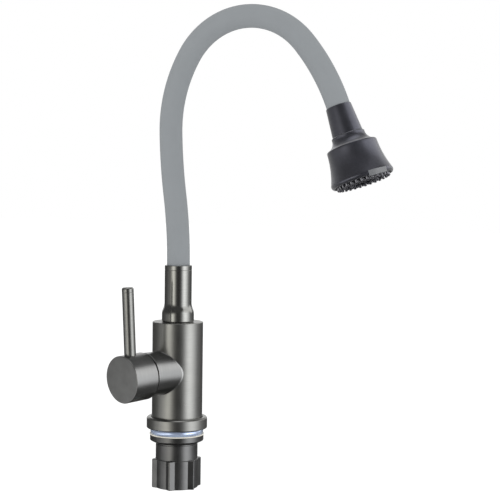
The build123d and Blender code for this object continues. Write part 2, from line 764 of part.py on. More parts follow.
def hose_end_fitting():
    """The brass end of the hose, on which the head turns."""
    fitting = turned(
        (NIPPLE_BORE_R, -NIPPLE_ROOT),
        (NIPPLE_R, -NIPPLE_ROOT),
        (NIPPLE_R, HOSE_IN_HEAD),
        (HOSE_STOP_R, HOSE_IN_HEAD),
        (HOSE_STOP_R, SWIVEL_SHOULDER - RUNNING_GAP),
        (SPIGOT_R, SWIVEL_SHOULDER - RUNNING_GAP),
        (SPIGOT_R, SPIGOT_END),
        (NIPPLE_BORE_R, SPIGOT_END),
    )
    fitting -= tube(SPIGOT_R + 1, SPIGOT_R - SPIGOT_GROOVE_DEPTH, *SPIGOT_GROOVE)
    fitting -= tube(SPIGOT_R + 1, SPIGOT_R - CLIP_GROOVE, CLIP_TOP, CLIP_TOP + CLIP_GROOVE)
    return on_head(fitting)


def head_o_ring():
    """The ring that seals the fitting in the sleeve."""
    height = sum(SPIGOT_GROOVE) / 2
    return on_head(ring(SPIGOT_R - SPIGOT_GROOVE_DEPTH + O_RING_R, height, O_RING_R - 0.03))


def head_clip():
    """The split clip that keeps the head on the fitting."""
    clip = tube(CLIP_R, SPIGOT_R - CLIP_GROOVE + FIT, CLIP_TOP + FIT, CLIP_TOP + CLIP_GROOVE - FIT)
    return on_head(clip - Pos(CLIP_R, 0, CLIP_TOP) * Box(SPIGOT_R, CLIP_SLIT, 4 * CLIP_GROOVE))


def head_sleeve():
    """The tapered sleeve that the hose goes into, screwed into the shell."""
    sleeve = turned(
        (SLEEVE_BORE_R, 0),
        (SLEEVE_TOP_R, 0),
        (SLEEVE_FOOT_R, SLEEVE_LENGTH),
        (SLEEVE_THREAD_R, SLEEVE_LENGTH),
        (SLEEVE_THREAD_R, SLEEVE_THREAD_END),
        (CLIP_ROOM_R, SLEEVE_THREAD_END),
        (CLIP_ROOM_R, CLIP_TOP - RUNNING_GAP),
        (SPIGOT_BORE_R, CLIP_TOP - RUNNING_GAP),
        (SPIGOT_BORE_R, SWIVEL_SHOULDER),
        (SLEEVE_BORE_R, SWIVEL_SHOULDER),
    )
    return on_head(sleeve)


def sector_face(start, angle):
    """A flat wedge from the axis, wider than the head."""
    reach = 3 * SKIRT_R
    steps = 4
    rays = [start + angle * i / steps for i in range(steps + 1)]
    corners = [(0, 0)] + [(reach * cos(radians(a)), reach * sin(radians(a))) for a in rays]
    return make_face(Polyline(*corners, close=True))


def head_shell():
    """The bell of the head, with a centre post for the face."""
    outer = [
        line((SLEEVE_THREAD_R + FIT, SLEEVE_LENGTH), (LEDGE_R - 0.7, SLEEVE_LENGTH)),
        line((LEDGE_R - 0.7, SLEEVE_LENGTH), (LEDGE_R, SLEEVE_LENGTH + 0.7)),
        line((LEDGE_R, SLEEVE_LENGTH + 0.7), (LEDGE_R, LEDGE_END)),
        arc((LEDGE_R, LEDGE_END), (16.3, 32.0), (SHOULDER_R - 0.9, SHOULDER_AT - 0.9)),
        line((SHOULDER_R - 0.9, SHOULDER_AT - 0.9), (SHOULDER_R, SHOULDER_AT + 0.3)),
        arc((SHOULDER_R, SHOULDER_AT + 0.3), (23.07, 48.5), (SKIRT_R, SKIRT_WIDEST_AT)),
        arc((SKIRT_R, SKIRT_WIDEST_AT), (SKIRT_R - 0.25, 65.2), (SKIRT_R - 1.1, SKIRT_END)),
    ]
    inner = [
        line((SKIRT_R - 1.1, SKIRT_END), (RIM_BORE_R, SKIRT_END)),
        line((RIM_BORE_R, SKIRT_END), (RIM_BORE_R, RIM_BORE_AT)),
        line((RIM_BORE_R, RIM_BORE_AT), (SHELL_BORE_END_R, RIM_BORE_AT)),
        line((SHELL_BORE_END_R, RIM_BORE_AT), (SHELL_BORE_TOP_R, CEILING_AT)),
        line((SHELL_BORE_TOP_R, CEILING_AT), (POST_R, CEILING_MIDDLE_AT)),
        line((POST_R, CEILING_MIDDLE_AT), (POST_R, POST_END)),
        line((POST_R, POST_END), (INSERT_SHAFT_R + FIT, POST_END)),
        line((INSERT_SHAFT_R + FIT, POST_END), (INSERT_SHAFT_R + FIT, MANIFOLD_END)),
        line((INSERT_SHAFT_R + FIT, MANIFOLD_END), (MANIFOLD_R, MANIFOLD_END)),
        line((MANIFOLD_R, MANIFOLD_END), (MANIFOLD_R, MANIFOLD_TOP)),
        line((MANIFOLD_R, MANIFOLD_TOP), (SLEEVE_THREAD_R + FIT, MANIFOLD_TOP)),
        line((SLEEVE_THREAD_R + FIT, MANIFOLD_TOP), (SLEEVE_THREAD_R + FIT, SLEEVE_LENGTH)),
    ]
    shell = curved(*outer, *inner)
    port = Pos(0, 0, SHELL_PORT_AT) * Rot(0, 90, 0) * tube(SHELL_PORT_R, 0, 0, POST_R + 1)
    for cut in around(port, 4, 45.0):
        shell -= cut
    return on_head(shell)


def tip_places():
    """The centre of each nozzle tip on the face."""
    places = []
    for radius, count in TIP_RINGS:
        for i in range(count):
            angle = 2 * pi * i / count
            places.append((radius * cos(angle), radius * sin(angle)))
    return places


def nozzle_plate():
    """The stiff face, with a hole for each rubber tip."""
    holes = [Pos(x, y) * Circle(TIP_R + TIP_GAP) for x, y in tip_places()]
    face = Circle(PLATE_R) - Circle(INSERT_SHAFT_R + 2 * FIT) - holes
    plate = Pos(0, 0, PLATE_TOP) * extrude(face, PLATE_END - PLATE_TOP)
    plate -= tube(INSERT_HEAD_R + 2 * FIT, 0, INSERT_HEAD_AT, PLATE_END + 1)
    return on_head(plate - tab_lug(PLATE_R + 1))


def nozzle_mat():
    """The rubber mat behind the face, in one piece with its tips."""
    mat = tube(MAT_R, MAT_BORE_R, MAT_TOP, PLATE_TOP)
    tip = Pos(0, 0, PLATE_TOP) * extrude(Circle(TIP_R), TIP_END - PLATE_TOP, taper=TIP_TAPER)
    tip -= tube(JET_R, 0, JET_START, TIP_END + 1)
    return on_head(mat + [Pos(x, y, 0) * tip for x, y in tip_places()])


def stream_insert():
    """The centre outlet: a hollow screw that holds the face to the post, with a round grid."""
    insert = tube(INSERT_SHAFT_R, INSERT_BORE_R, INSERT_TOP, INSERT_HEAD_AT)
    insert += tube(INSERT_HEAD_R, INSERT_BORE_R, INSERT_HEAD_AT, INSERT_END)
    grid = Circle(INSERT_BORE_R) - [Pos(x, y) * Circle(GRID_R) for x, y in grid_places()]
    insert += Pos(0, 0, INSERT_HEAD_AT + 1) * extrude(grid, GRID_DEPTH)
    return on_head(insert)


def grid_places():
    """Holes of the centre grid: one in the middle and two rings."""
    places = [(0.0, 0.0)]
    for radius, count in GRID_RINGS:
        for i in range(count):
            places.append((radius * cos(2 * pi * i / count), radius * sin(2 * pi * i / count)))
    return places


def tab_lug(reach):
    """The lug of the tab in a notch of the face's edge, out to a radius."""
    notch = tube(reach, PLATE_R - LUG_DEPTH, PLATE_TOP, PLATE_END)
    return notch & extrude(sector_face(TAB_ANGLE - LUG_HALF, 2 * LUG_HALF), SKIRT_END)


def selector_tab():
    """The lighter tab that turns the face, hooked round the shell's rim from below."""
    band = turned(
        (TAB_ROOT_R, PLATE_END),
        (PLATE_R, PLATE_END),
        (PLATE_R, TAB_FOOT),
        (TAB_BORE_R, TAB_FOOT),
        (TAB_BORE_R, TAB_TOP),
        (TAB_R - TAB_ROUND, TAB_TOP),
        (TAB_R, TAB_TOP + TAB_ROUND),
        (TAB_R, TAB_END - TAB_ROUND),
        (TAB_R - TAB_ROUND, TAB_END),
        (TAB_ROOT_R, TAB_END),
    )
    tab = band & extrude(sector_face(TAB_ANGLE - TAB_HALF, 2 * TAB_HALF), TAB_END + 1)
    return on_head(tab + tab_lug(PLATE_R))


def write_all():
    """Every node of the mixer."""
    write("mixer_body", mixer_body())
    write("retaining_screw", retaining_screw())
    write("base_flange", base_flange())
    write("base_gasket", base_gasket())
    write("threaded_shank", threaded_shank())
    write("clamp_seal", clamp_seal())
    write("clamp_washer", clamp_washer())
    write("wing_nut", wing_nut())
    write("cartridge_case", cartridge_case())
    write("cartridge_seals", *cartridge_seals())
    write("ceramic_disc_fixed", ceramic_disc_fixed())
    write("ceramic_disc_moving", ceramic_disc_moving())
    write("disc_carrier", disc_carrier())
    write("carrier_pin", carrier_pin())
    write("control_stem", control_stem())
    write("cartridge_nut", cartridge_nut())
    write("bonnet_ring", bonnet_ring())
    write("handle_cap", handle_cap())
    write("lever_pin", lever_pin())
    write("handle_screw", handle_screw())
    write("spout_stem", spout_stem())
    write("spout_o_rings", *spout_o_rings())
    write("glide_ring", glide_ring())
    write("neck_sleeve", neck_sleeve())
    write_hose()
    write("hose_end_fitting", hose_end_fitting())
    write("head_o_ring", head_o_ring())
    write("head_clip", head_clip())
    write("head_sleeve", head_sleeve())
    write("head_shell", head_shell())
    write("nozzle_plate", nozzle_plate())
    write("nozzle_mat", nozzle_mat())
    write("stream_insert", stream_insert())
    write("selector_tab", selector_tab())
    print(f"hose length {HOSE_LENGTH:.1f}, head at {head_x:.1f}, {head_z:.1f}, heading {head_heading:.2f}")


write_all()
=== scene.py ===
# %% [markdown]
# # A kitchen mixer with a bendable grey spout
# The real object is a gunmetal column with a lever at its side, a hose of grey silicone over a steel
# gooseneck, and a charcoal spray head. A washer and a ribbed nut clamp it under the worktop.
# An engineering model already fixes every size and every joint. This lesson loads that model and
# gives each visible piece its finished surface around it. Lengths are written in millimetres, as on
# a drawing, and one value turns them into Blender's metres.

# %% Load the engineering model
import json
from math import atan2, cos, degrees, hypot, pi, radians, sin, sqrt, tan

import bpy
from mathutils import Matrix, Vector


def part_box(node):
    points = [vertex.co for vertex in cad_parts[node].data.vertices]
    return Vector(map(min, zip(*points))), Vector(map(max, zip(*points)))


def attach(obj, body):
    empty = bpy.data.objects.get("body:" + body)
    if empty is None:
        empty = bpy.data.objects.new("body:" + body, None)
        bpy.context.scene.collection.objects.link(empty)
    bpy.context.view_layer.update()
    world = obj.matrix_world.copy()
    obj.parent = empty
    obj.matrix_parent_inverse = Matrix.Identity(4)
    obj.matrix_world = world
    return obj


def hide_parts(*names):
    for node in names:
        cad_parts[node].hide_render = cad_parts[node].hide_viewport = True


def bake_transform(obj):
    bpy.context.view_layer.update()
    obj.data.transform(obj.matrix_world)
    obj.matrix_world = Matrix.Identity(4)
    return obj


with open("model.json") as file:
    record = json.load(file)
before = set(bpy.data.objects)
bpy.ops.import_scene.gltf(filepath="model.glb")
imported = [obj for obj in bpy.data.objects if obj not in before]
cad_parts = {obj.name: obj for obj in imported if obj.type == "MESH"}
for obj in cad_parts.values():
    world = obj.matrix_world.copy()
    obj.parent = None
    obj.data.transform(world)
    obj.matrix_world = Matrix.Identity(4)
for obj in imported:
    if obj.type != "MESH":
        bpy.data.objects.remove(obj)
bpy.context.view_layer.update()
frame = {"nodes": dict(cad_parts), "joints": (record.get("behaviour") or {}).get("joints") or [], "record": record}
joints = {joint["name"]: joint for joint in frame["joints"]}
MM = 0.001

# %% [markdown]
# ## The camera
# The photograph was taken from far off with a long lens, so the column's sides stay almost parallel.
# The focal length is given in pixels of the square picture, and turned into a lens for a 36 mm sensor.
# The camera stands to the side of the spout's plane, points a little down and to the right of the
# column, and is rolled by less than a degree. It is placed from those angles, not by eye.

# %% Set up the camera
PICTURE_SIDE = 500
FOCAL_PIXELS = 1500.0
SENSOR_WIDTH = 36.0
CAMERA_AZIMUTH = radians(-62.0)
CAMERA_DISTANCE = 1332.7 * MM
CAMERA_HEIGHT = 234.06 * MM
CAMERA_PAN = radians(2.731)
CAMERA_PITCH = radians(3.205)
CAMERA_ROLL = radians(0.70)


def make_camera():
    """The camera at the photograph's place, built from its right, up and backward directions."""
    towards = CAMERA_AZIMUTH + pi - CAMERA_PAN
    level = Vector((cos(towards), sin(towards), 0))
    right = Vector((sin(towards), -cos(towards), 0))
    forward = cos(CAMERA_PITCH) * level - sin(CAMERA_PITCH) * Vector((0, 0, 1))
    up = right.cross(forward)
    picture_right = cos(CAMERA_ROLL) * right + sin(CAMERA_ROLL) * up
    picture_up = -sin(CAMERA_ROLL) * right + cos(CAMERA_ROLL) * up
    place = Matrix((picture_right, picture_up, -forward)).transposed().to_4x4()
    ground = CAMERA_DISTANCE * Vector((cos(CAMERA_AZIMUTH), sin(CAMERA_AZIMUTH), 0))
    place.translation = ground + Vector((0, 0, CAMERA_HEIGHT))
    data = bpy.data.cameras.new("studio_camera")
    data.sensor_width = SENSOR_WIDTH
    data.lens = FOCAL_PIXELS / PICTURE_SIDE * SENSOR_WIDTH
    camera = bpy.data.objects.new("studio_camera", data)
    camera.matrix_world = place
    bpy.context.scene.collection.objects.link(camera)
    bpy.context.scene.camera = camera
    return camera


camera = make_camera()
print("lens", round(camera.data.lens, 1), "camera at", [round(x, 3) for x in camera.location])

# %% [markdown]
# ## The studio
# Metal only looks like metal when it has something to reflect. The photograph shows a dark band in
# the middle of the column with a soft warm light to its left and a broader, cooler one to its right.
# Lamps could be placed by hand for that. Here the world itself is the studio: a ring of brightness
# by direction for what shines, an even pale light for what is matt, and white where the camera looks
# past the object. Soft boxes below and above the ring light what leans, such as the head and the
# round sides of the handle, and a pale wall and a ceiling finish the room.

# %% Build the studio light
MATT_LIGHT = 1.12
BACKGROUND_WHITE = 1.0
WARM = (1.0, 0.985, 0.93)
COOL = (0.975, 0.985, 1.0)
EVEN = (1.0, 1.0, 0.99)
# Degrees from the camera's side, positive to its right, with the brightness there and its tint.
LIGHT_RING = [
    (-180, 0.08, EVEN),
    (-138, 0.10, EVEN),
    (-110, 0.18, EVEN),
    (-92, 0.30, EVEN),
    (-70, 0.38, WARM),
    (-59, 0.85, WARM),
    (-50, 1.65, WARM),
    (-40, 2.00, WARM),
    (-31, 1.45, WARM),
    (-22, 0.50, WARM),
    (-12, 0.12, EVEN),
    (0, 0.07, EVEN),
    (14, 0.09, EVEN),
    (24, 0.28, COOL),
    (33, 0.95, COOL),
    (43, 2.05, COOL),
    (54, 2.65, COOL),
    (63, 2.50, COOL),
    (74, 1.85, COOL),
    (84, 1.30, COOL),
    (98, 0.50, COOL),
    (116, 0.26, COOL),
    (135, 0.16, EVEN),
    (180, 0.08, EVEN),
]
LIGHT_LOW = (-0.50, -0.18)
LIGHT_HIGH = (0.091, 0.471)
HIGH_TILT = -0.229
DIM = 0.10
# Soft boxes below and above the ring: degrees to the right, height, brightness, and soft edge.
SOFT_BOXES = [
    (-68, -0.37, 1.6, (0.972, 0.993)),
    (-86, -0.37, 1.1, (0.972, 0.993)),
    (62, 0.48, 1.6, (0.95, 0.99)),
    (90, 0.45, 1.5, (0.94, 0.988)),
    (118, 0.36, 1.5, (0.93, 0.985)),
]
BACK_WALL = 0.95
BACK_WALL_EDGE = (0.72, 0.92)
BACK_WALL_FOOT = (-0.02, 0.07)
CEILING = 1.3
CEILING_EDGE = (0.86, 0.97)


def add_node(tree, kind, **values):
    """One node of a tree. Names of sockets set their values, and other names set the node's own."""
    node = tree.nodes.new(kind)
    for name, value in values.items():
        socket = name.replace("_", " ")
        if socket in node.inputs:
            node.inputs[socket].default_value = value
        else:
            setattr(node, name, value)
    return node


def ramp_stops(ramp, stops):
    """Fills a colour ramp with its stops, from low to high."""
    elements = ramp.color_ramp.elements
    for element, (place, colour) in zip(elements, (stops[0], stops[-1])):
        element.position = place
        element.color = (*colour, 1)
    for place, colour in stops[1:-1]:
        elements.new(place).color = (*colour, 1)


def grey(level):
    """An even colour."""
    return (level, level, level, 1)


def ease(tree, source, edge, falling=False):
    """A soft step from 0 to 1 between two values, or from 1 to 0."""
    step = add_node(tree, "ShaderNodeMapRange", interpolation_type="SMOOTHSTEP")
    step.inputs["From Min"].default_value, step.inputs["From Max"].default_value = edge
    if falling:
        step.inputs["To Min"].default_value, step.inputs["To Max"].default_value = 1, 0
    tree.links.new(source, step.inputs["Value"])
    return step.outputs["Result"]


def along(tree, source, direction):
    """How far a vector reaches along a direction."""
    reach = add_node(tree, "ShaderNodeVectorMath", operation="DOT_PRODUCT")
    reach.inputs[1].default_value = direction
    tree.links.new(source.outputs["Vector"], reach.inputs[0])
    return reach.outputs["Value"]


def blend_in(tree, steps, below, above):
    """One colour over another, where both steps are at 1."""
    share = add_node(tree, "ShaderNodeMath", operation="MULTIPLY")
    mix = add_node(tree, "ShaderNodeMix", data_type="RGBA")
    tree.links.new(share.outputs["Value"], mix.inputs["Factor"])
    pairs = [(share.inputs[0], steps[0]), (share.inputs[1], steps[1])]
    for socket, value in pairs + [(mix.inputs["A"], below), (mix.inputs["B"], above)]:
        if isinstance(value, bpy.types.NodeSocket):
            tree.links.new(value, socket)
        else:
            socket.default_value = value
    return mix.outputs["Result"]


def make_studio():
    """The world: white for the camera, even for matt surfaces, a ring of lights for shiny ones."""
    world = bpy.data.worlds.new("studio")
    bpy.context.scene.world = world
    world.use_nodes = True
    tree = world.node_tree
    tree.nodes.clear()
    link = tree.links.new
    direction = add_node(tree, "ShaderNodeTexCoord")
    turned = add_node(tree, "ShaderNodeMapping", vector_type="POINT")
    turned.inputs["Rotation"].default_value = (0, 0, -CAMERA_AZIMUTH)
    link(direction.outputs["Generated"], turned.inputs["Vector"])
    around = add_node(tree, "ShaderNodeTexGradient", gradient_type="RADIAL")
    link(turned.outputs["Vector"], around.inputs["Vector"])
    ring = add_node(tree, "ShaderNodeValToRGB")
    brightest = max(level for _, level, _ in LIGHT_RING)
    stops = [
        (0.5 + angle / 360, [level / brightest * part for part in tint])
        for angle, level, tint in LIGHT_RING
    ]
    ramp_stops(ring, stops)
    link(around.outputs["Fac"], ring.inputs["Fac"])
    way = add_node(tree, "ShaderNodeSeparateXYZ")
    link(turned.outputs["Vector"], way.inputs["Vector"])
    backward = add_node(tree, "ShaderNodeMath", operation="MULTIPLY")
    backward.inputs[1].default_value = -1
    link(way.outputs["X"], backward.inputs[0])
    above_low = ease(tree, way.outputs["Z"], LIGHT_LOW)
    below_high = ease(tree, along(tree, turned, (0, HIGH_TILT, 1)), LIGHT_HIGH, falling=True)
    shine = blend_in(tree, (above_low, below_high), grey(DIM / brightest), ring.outputs["Color"])
    for angle, height, level, edge in SOFT_BOXES:
        flat = sqrt(1 - height**2)
        middle = (flat * cos(radians(angle)), flat * sin(radians(angle)), height)
        inside = ease(tree, along(tree, turned, middle), edge)
        shine = blend_in(tree, (inside, 1.0), shine, grey(level / brightest))
    behind = ease(tree, backward.outputs["Value"], BACK_WALL_EDGE)
    over_foot = ease(tree, way.outputs["Z"], BACK_WALL_FOOT)
    shine = blend_in(tree, (behind, over_foot), shine, grey(BACK_WALL / brightest))
    overhead = ease(tree, way.outputs["Z"], CEILING_EDGE)
    shine = blend_in(tree, (overhead, 1.0), shine, grey(CEILING / brightest))
    shiny = add_node(tree, "ShaderNodeBackground", Strength=brightest)
    link(shine, shiny.inputs["Color"])
    matt = add_node(tree, "ShaderNodeBackground", Color=(1, 1, 1, 1), Strength=MATT_LIGHT)
    seen = add_node(tree, "ShaderNodeBackground", Color=(1, 1, 1, 1), Strength=BACKGROUND_WHITE)
    ray = add_node(tree, "ShaderNodeLightPath")
    by_gloss = add_node(tree, "ShaderNodeMixShader")
    by_camera = add_node(tree, "ShaderNodeMixShader")
    output = add_node(tree, "ShaderNodeOutputWorld")
    link(ray.outputs["Is Glossy Ray"], by_gloss.inputs["Fac"])
    link(matt.outputs["Background"], by_gloss.inputs[1])
    link(shiny.outputs["Background"], by_gloss.inputs[2])
    link(ray.outputs["Is Camera Ray"], by_camera.inputs["Fac"])
    link(by_gloss.outputs["Shader"], by_camera.inputs[1])
    link(seen.outputs["Background"], by_camera.inputs[2])
    link(by_camera.outputs["Shader"], output.inputs["Surface"])
    bpy.context.scene.view_settings.view_transform = "Standard"


make_studio()
print("studio ring with", len(LIGHT_RING), "stops and", len(SOFT_BOXES), "soft boxes")

# %% [markdown]
# ## Small helpers for modelling
# An operator acts on everything that is selected, so each step starts by clearing the selection.
# `edit` opens one piece with all of it selected, and `done` closes it again.

# %% Helpers that select and edit
TINY = 1e-6


def settle():
    """Object mode with nothing selected."""
    if bpy.context.mode != "OBJECT":
        bpy.ops.object.mode_set(mode="OBJECT")
    bpy.ops.object.select_all(action="DESELECT")


def pick(piece):
    """Only this piece selected and active."""
    settle()
    piece.select_set(True)
    bpy.context.view_layer.objects.active = piece


def edit(piece):
    """Edit mode with the whole piece selected."""
    pick(piece)
    bpy.ops.object.mode_set(mode="EDIT")
    bpy.ops.mesh.select_mode(type="VERT")
    bpy.ops.mesh.select_all(action="SELECT")


def edit_corners(piece, wanted):
    """Edit mode with only the corners that a test picks by their place."""
    edit(piece)
    bpy.ops.mesh.select_all(action="DESELECT")
    bpy.ops.object.mode_set(mode="OBJECT")
    for vertex in piece.data.vertices:
        vertex.select = wanted(vertex.co)
    bpy.ops.object.mode_set(mode="EDIT")


def done():
    """Back to object mode."""
    bpy.ops.object.mode_set(mode="OBJECT")


def close_seams(piece):
    """Joins the corners that meet, and points every face outwards."""
    edit(piece)
    bpy.ops.mesh.remove_doubles(threshold=TINY)
    bpy.ops.mesh.select_all(action="SELECT")
    bpy.ops.mesh.normals_make_consistent(inside=False)
    done()


def apply_modifier(piece, kind, **values):
    """Adds one modifier with its values, and applies it."""
    pick(piece)
    modifier = piece.modifiers.new(kind.lower(), kind)
    for name, value in values.items():
        setattr(modifier, name, value)
    bpy.ops.object.modifier_apply(modifier=modifier.name)


def round_edges(piece, width, angle):
    """Rounds each edge that is sharper than an angle."""
    limits = {"limit_method": "ANGLE", "angle_limit": radians(angle)}
    apply_modifier(piece, "BEVEL", width=width * MM, segments=3, **limits)


def smooth(piece, angle=34):
    """Smooth faces that break at real edges, and stay flat where a face is broad."""
    pick(piece)
    bpy.ops.object.shade_smooth_by_angle(angle=radians(angle))
    apply_modifier(piece, "WEIGHTED_NORMAL", keep_sharp=True)


def join(first, *others):
    """One piece made of several."""
    settle()
    for piece in (first, *others):
        piece.select_set(True)
    bpy.context.view_layer.objects.active = first
    bpy.ops.object.join()
    return first


def put(piece, place):
    """Moves a piece made about the world's middle to its place, which then is in its mesh."""
    pick(piece)
    piece.matrix_world = place
    bpy.ops.object.transform_apply(location=True, rotation=True, scale=True)
    return piece


def cut(piece, *cutters):
    """Takes the cutters out of a piece, and removes them."""
    tool = cutters[0] if len(cutters) == 1 else join(*cutters)
    apply_modifier(piece, "BOOLEAN", operation="DIFFERENCE", object=tool, solver="EXACT")
    bpy.data.objects.remove(tool)
    return piece


# %% [markdown]
# ## Turning on a lathe
# Almost every part of a mixer is turned, so its shape is an outline of radius and height. A circle
# primitive gives a closed ring with one corner for each point of the outline. The corners move to
# their places, the ones with a rounding are bevelled, and the spin operator turns the outline about
# the axis. A Screw modifier could do the same, but the spin keeps every step in edit mode.

# %% The lathe
ROUND_STEPS = 160
ROUNDING_SEGMENTS = 4


def lathe(name, corners, steps=ROUND_STEPS, angle=360.0):
    """A turned solid from corners of radius and height, with a third value where one is rounded."""
    settle()
    corners = [(*corner, 0)[:3] for corner in corners]
    bpy.ops.mesh.primitive_circle_add(vertices=len(corners), radius=MM)
    piece = bpy.context.object
    piece.name = piece.data.name = name
    for vertex, (radius, height, _) in zip(piece.data.vertices, corners):
        vertex.co = (radius * MM, 0, height * MM)
    for size in sorted({rounding for _, _, rounding in corners if rounding}):
        places = [Vector((r * MM, 0, z * MM)) for r, z, rounding in corners if rounding == size]
        edit_corners(piece, lambda co: any((co - place).length < TINY for place in places))
        bpy.ops.mesh.bevel(offset=size * MM, segments=ROUNDING_SEGMENTS, affect="VERTICES")
    edit(piece)
    if angle < 360:
        bpy.ops.mesh.edge_face_add()
    bpy.ops.mesh.spin(steps=steps, angle=radians(angle), center=(0, 0, 0), axis=(0, 0, -1))
    close_seams(piece)
    return piece


def arc(start, middle, end, count=10):
    """Corners on the round stretch through three points, with the two ends."""
    (ax, ay), (bx, by), (cx, cy) = start, middle, end
    d = 2 * (ax * (by - cy) + bx * (cy - ay) + cx * (ay - by))
    a2, b2, c2 = ax**2 + ay**2, bx**2 + by**2, cx**2 + cy**2
    x = (a2 * (by - cy) + b2 * (cy - ay) + c2 * (ay - by)) / d
    y = (a2 * (cx - bx) + b2 * (ax - cx) + c2 * (bx - ax)) / d
    radius = hypot(ax - x, ay - y)
    first, last = atan2(ay - y, ax - x), atan2(cy - y, cx - x)
    sweep = (last - first + pi) % (2 * pi) - pi
    points = [first + sweep * i / count for i in range(count + 1)]
    return [(x + radius * cos(a), y + radius * sin(a)) for a in points]


def rod(name, radius, low, high, steps=48):
    """A plain turned rod, used to cut holes."""
    return lathe(name, [(0, low), (radius, low), (radius, high), (0, high)], steps)


# %% [markdown]
# ## Where the handle and the head are
# The joints of the engineering model say where each turned piece belongs. The handle's own frame has
# its Z outwards from the column and its Y up. The head's frame starts at the top of its sleeve and
# has its Z towards the nozzles. Pieces are turned about the world's Z and then put in these frames.
# Quarter turns point the lever up, its screw down, and the column's grub screw to the back.

# %% Frames from the joints
LEVER_LEAN = radians(3.3)
handle_out = Vector(joints["lever_mix"]["axis"]).normalized()
handle_side = Vector(joints["lever_flow"]["axis"]).normalized()
handle_middle = Vector(joints["lever_mix"]["pos_m"])
pivot_out = (Vector(joints["lever_flow"]["pos_m"]) - handle_middle).length
head_down = Vector(joints["head_swivel"]["axis"]).normalized()
head_top = Vector(joints["head_swivel"]["pos_m"])


def frame_of(x_axis, z_axis, middle):
    """The place of a frame with these axes and this middle."""
    place = Matrix((x_axis, z_axis.cross(x_axis), z_axis)).transposed().to_4x4()
    place.translation = middle
    return place


HOUSING_PLACE = frame_of(handle_side, handle_out, handle_middle)
to_pivot = Matrix.Translation((0, 0, pivot_out))
CAP_PLACE = HOUSING_PLACE @ to_pivot @ Matrix.Rotation(LEVER_LEAN, 4, "X") @ to_pivot.inverted()
HEAD_PLACE = frame_of(Vector((-head_down.z, 0, head_down.x)), head_down, head_top)
COLUMN_PLACE = Matrix.Identity(4)
UPWARDS = Matrix.Rotation(-pi / 2, 4, "X")
DOWNWARDS = Matrix.Rotation(pi / 2, 4, "X")
BACKWARDS = Matrix.Rotation(-pi / 2, 4, "Y")
print("handle points to", round(degrees(atan2(handle_out.y, handle_out.x)), 1), "degrees")
print("head hangs", round(degrees(atan2(head_down.x, -head_down.z)), 1), "degrees off plumb")

# %% [markdown]
# ## Finishes
# Every finish starts from one shader whose plain values sit on its own sockets. Patterns read the
# object's own coordinates in metres, so a scale of 3000 means a third of a millimetre. Turned metal
# has fine rings about its axis: noise that changes fast along the axis and slowly around it.

# %% Finish helpers
SHEEN_ROUGHNESS = 0.46


def new_finish(name, colour, roughness, metallic=0.0, coat=0.0, specular=0.5, sheen=0.0):
    """A material with one shader, and its plain values."""
    finish = bpy.data.materials.new(name)
    finish.use_nodes = True
    tree = finish.node_tree
    shader = tree.nodes["Principled BSDF"]
    shader.inputs["Base Color"].default_value = (*colour, 1)
    shader.inputs["Roughness"].default_value = roughness
    shader.inputs["Metallic"].default_value = metallic
    shader.inputs["Coat Weight"].default_value = coat
    shader.inputs["Specular IOR Level"].default_value = specular
    shader.inputs["Sheen Weight"].default_value = sheen
    shader.inputs["Sheen Roughness"].default_value = SHEEN_ROUGHNESS
    finish.diffuse_color = (*colour, 1)
    return finish, tree, shader


def pattern(tree, scale, place=None, detail=3.0):
    """Noise on the object's coordinates, stretched by a scale along each axis of a frame."""
    coordinates = add_node(tree, "ShaderNodeTexCoord")
    source = coordinates.outputs["Object"]
    if place is not None:
        own = add_node(tree, "ShaderNodeMapping", vector_type="TEXTURE")
        own.inputs["Location"].default_value = place.translation
        own.inputs["Rotation"].default_value = place.to_euler()
        tree.links.new(source, own.inputs["Vector"])
        source = own.outputs["Vector"]
    stretch = add_node(tree, "ShaderNodeMapping", Scale=scale)
    tree.links.new(source, stretch.inputs["Vector"])
    noise = add_node(tree, "ShaderNodeTexNoise", Scale=1.0, Detail=detail)
    tree.links.new(stretch.outputs["Vector"], noise.inputs["Vector"])
    return noise.outputs["Fac"]


def vary_colour(tree, shader, source, dark, light, low=0.35, high=0.65):
    """The surface's colour drifts between two shades."""
    ramp = add_node(tree, "ShaderNodeValToRGB")
    ramp_stops(ramp, [(low, dark), (high, light)])
    tree.links.new(source, ramp.inputs["Fac"])
    tree.links.new(ramp.outputs["Color"], shader.inputs["Base Color"])


def vary_roughness(tree, shader, source, smoothest, roughest):
    """The gloss drifts between two values."""
    level = add_node(tree, "ShaderNodeMapRange")
    level.inputs["From Min"].default_value, level.inputs["From Max"].default_value = 0.3, 0.7
    level.inputs["To Min"].default_value, level.inputs["To Max"].default_value = smoothest, roughest
    tree.links.new(source, level.inputs["Value"])
    tree.links.new(level.outputs["Result"], shader.inputs["Roughness"])


def emboss(tree, shader, source, depth, strength=1.0):
    """Small heights on the surface, in millimetres."""
    bump = add_node(tree, "ShaderNodeBump", Strength=strength, Distance=depth * MM)
    tree.links.new(source, bump.inputs["Height"])
    tree.links.new(bump.outputs["Normal"], shader.inputs["Normal"])


def shade(colour, factor):
    """A colour made darker or lighter."""
    return tuple(part * factor for part in colour)


def turned_metal(name, colour, smoothest, roughest, place, depth=0.0012):
    """Metal with fine rings about its axis, a little uneven in gloss and tone."""
    finish, tree, shader = new_finish(name, colour, roughest, metallic=1.0)
    rings = pattern(tree, (90, 90, 5200), place)
    clouds = pattern(tree, (60, 60, 60), place)
    vary_colour(tree, shader, rings, shade(colour, 0.93), shade(colour, 1.07))
    vary_roughness(tree, shader, clouds, smoothest, roughest)
    emboss(tree, shader, rings, depth)
    return finish


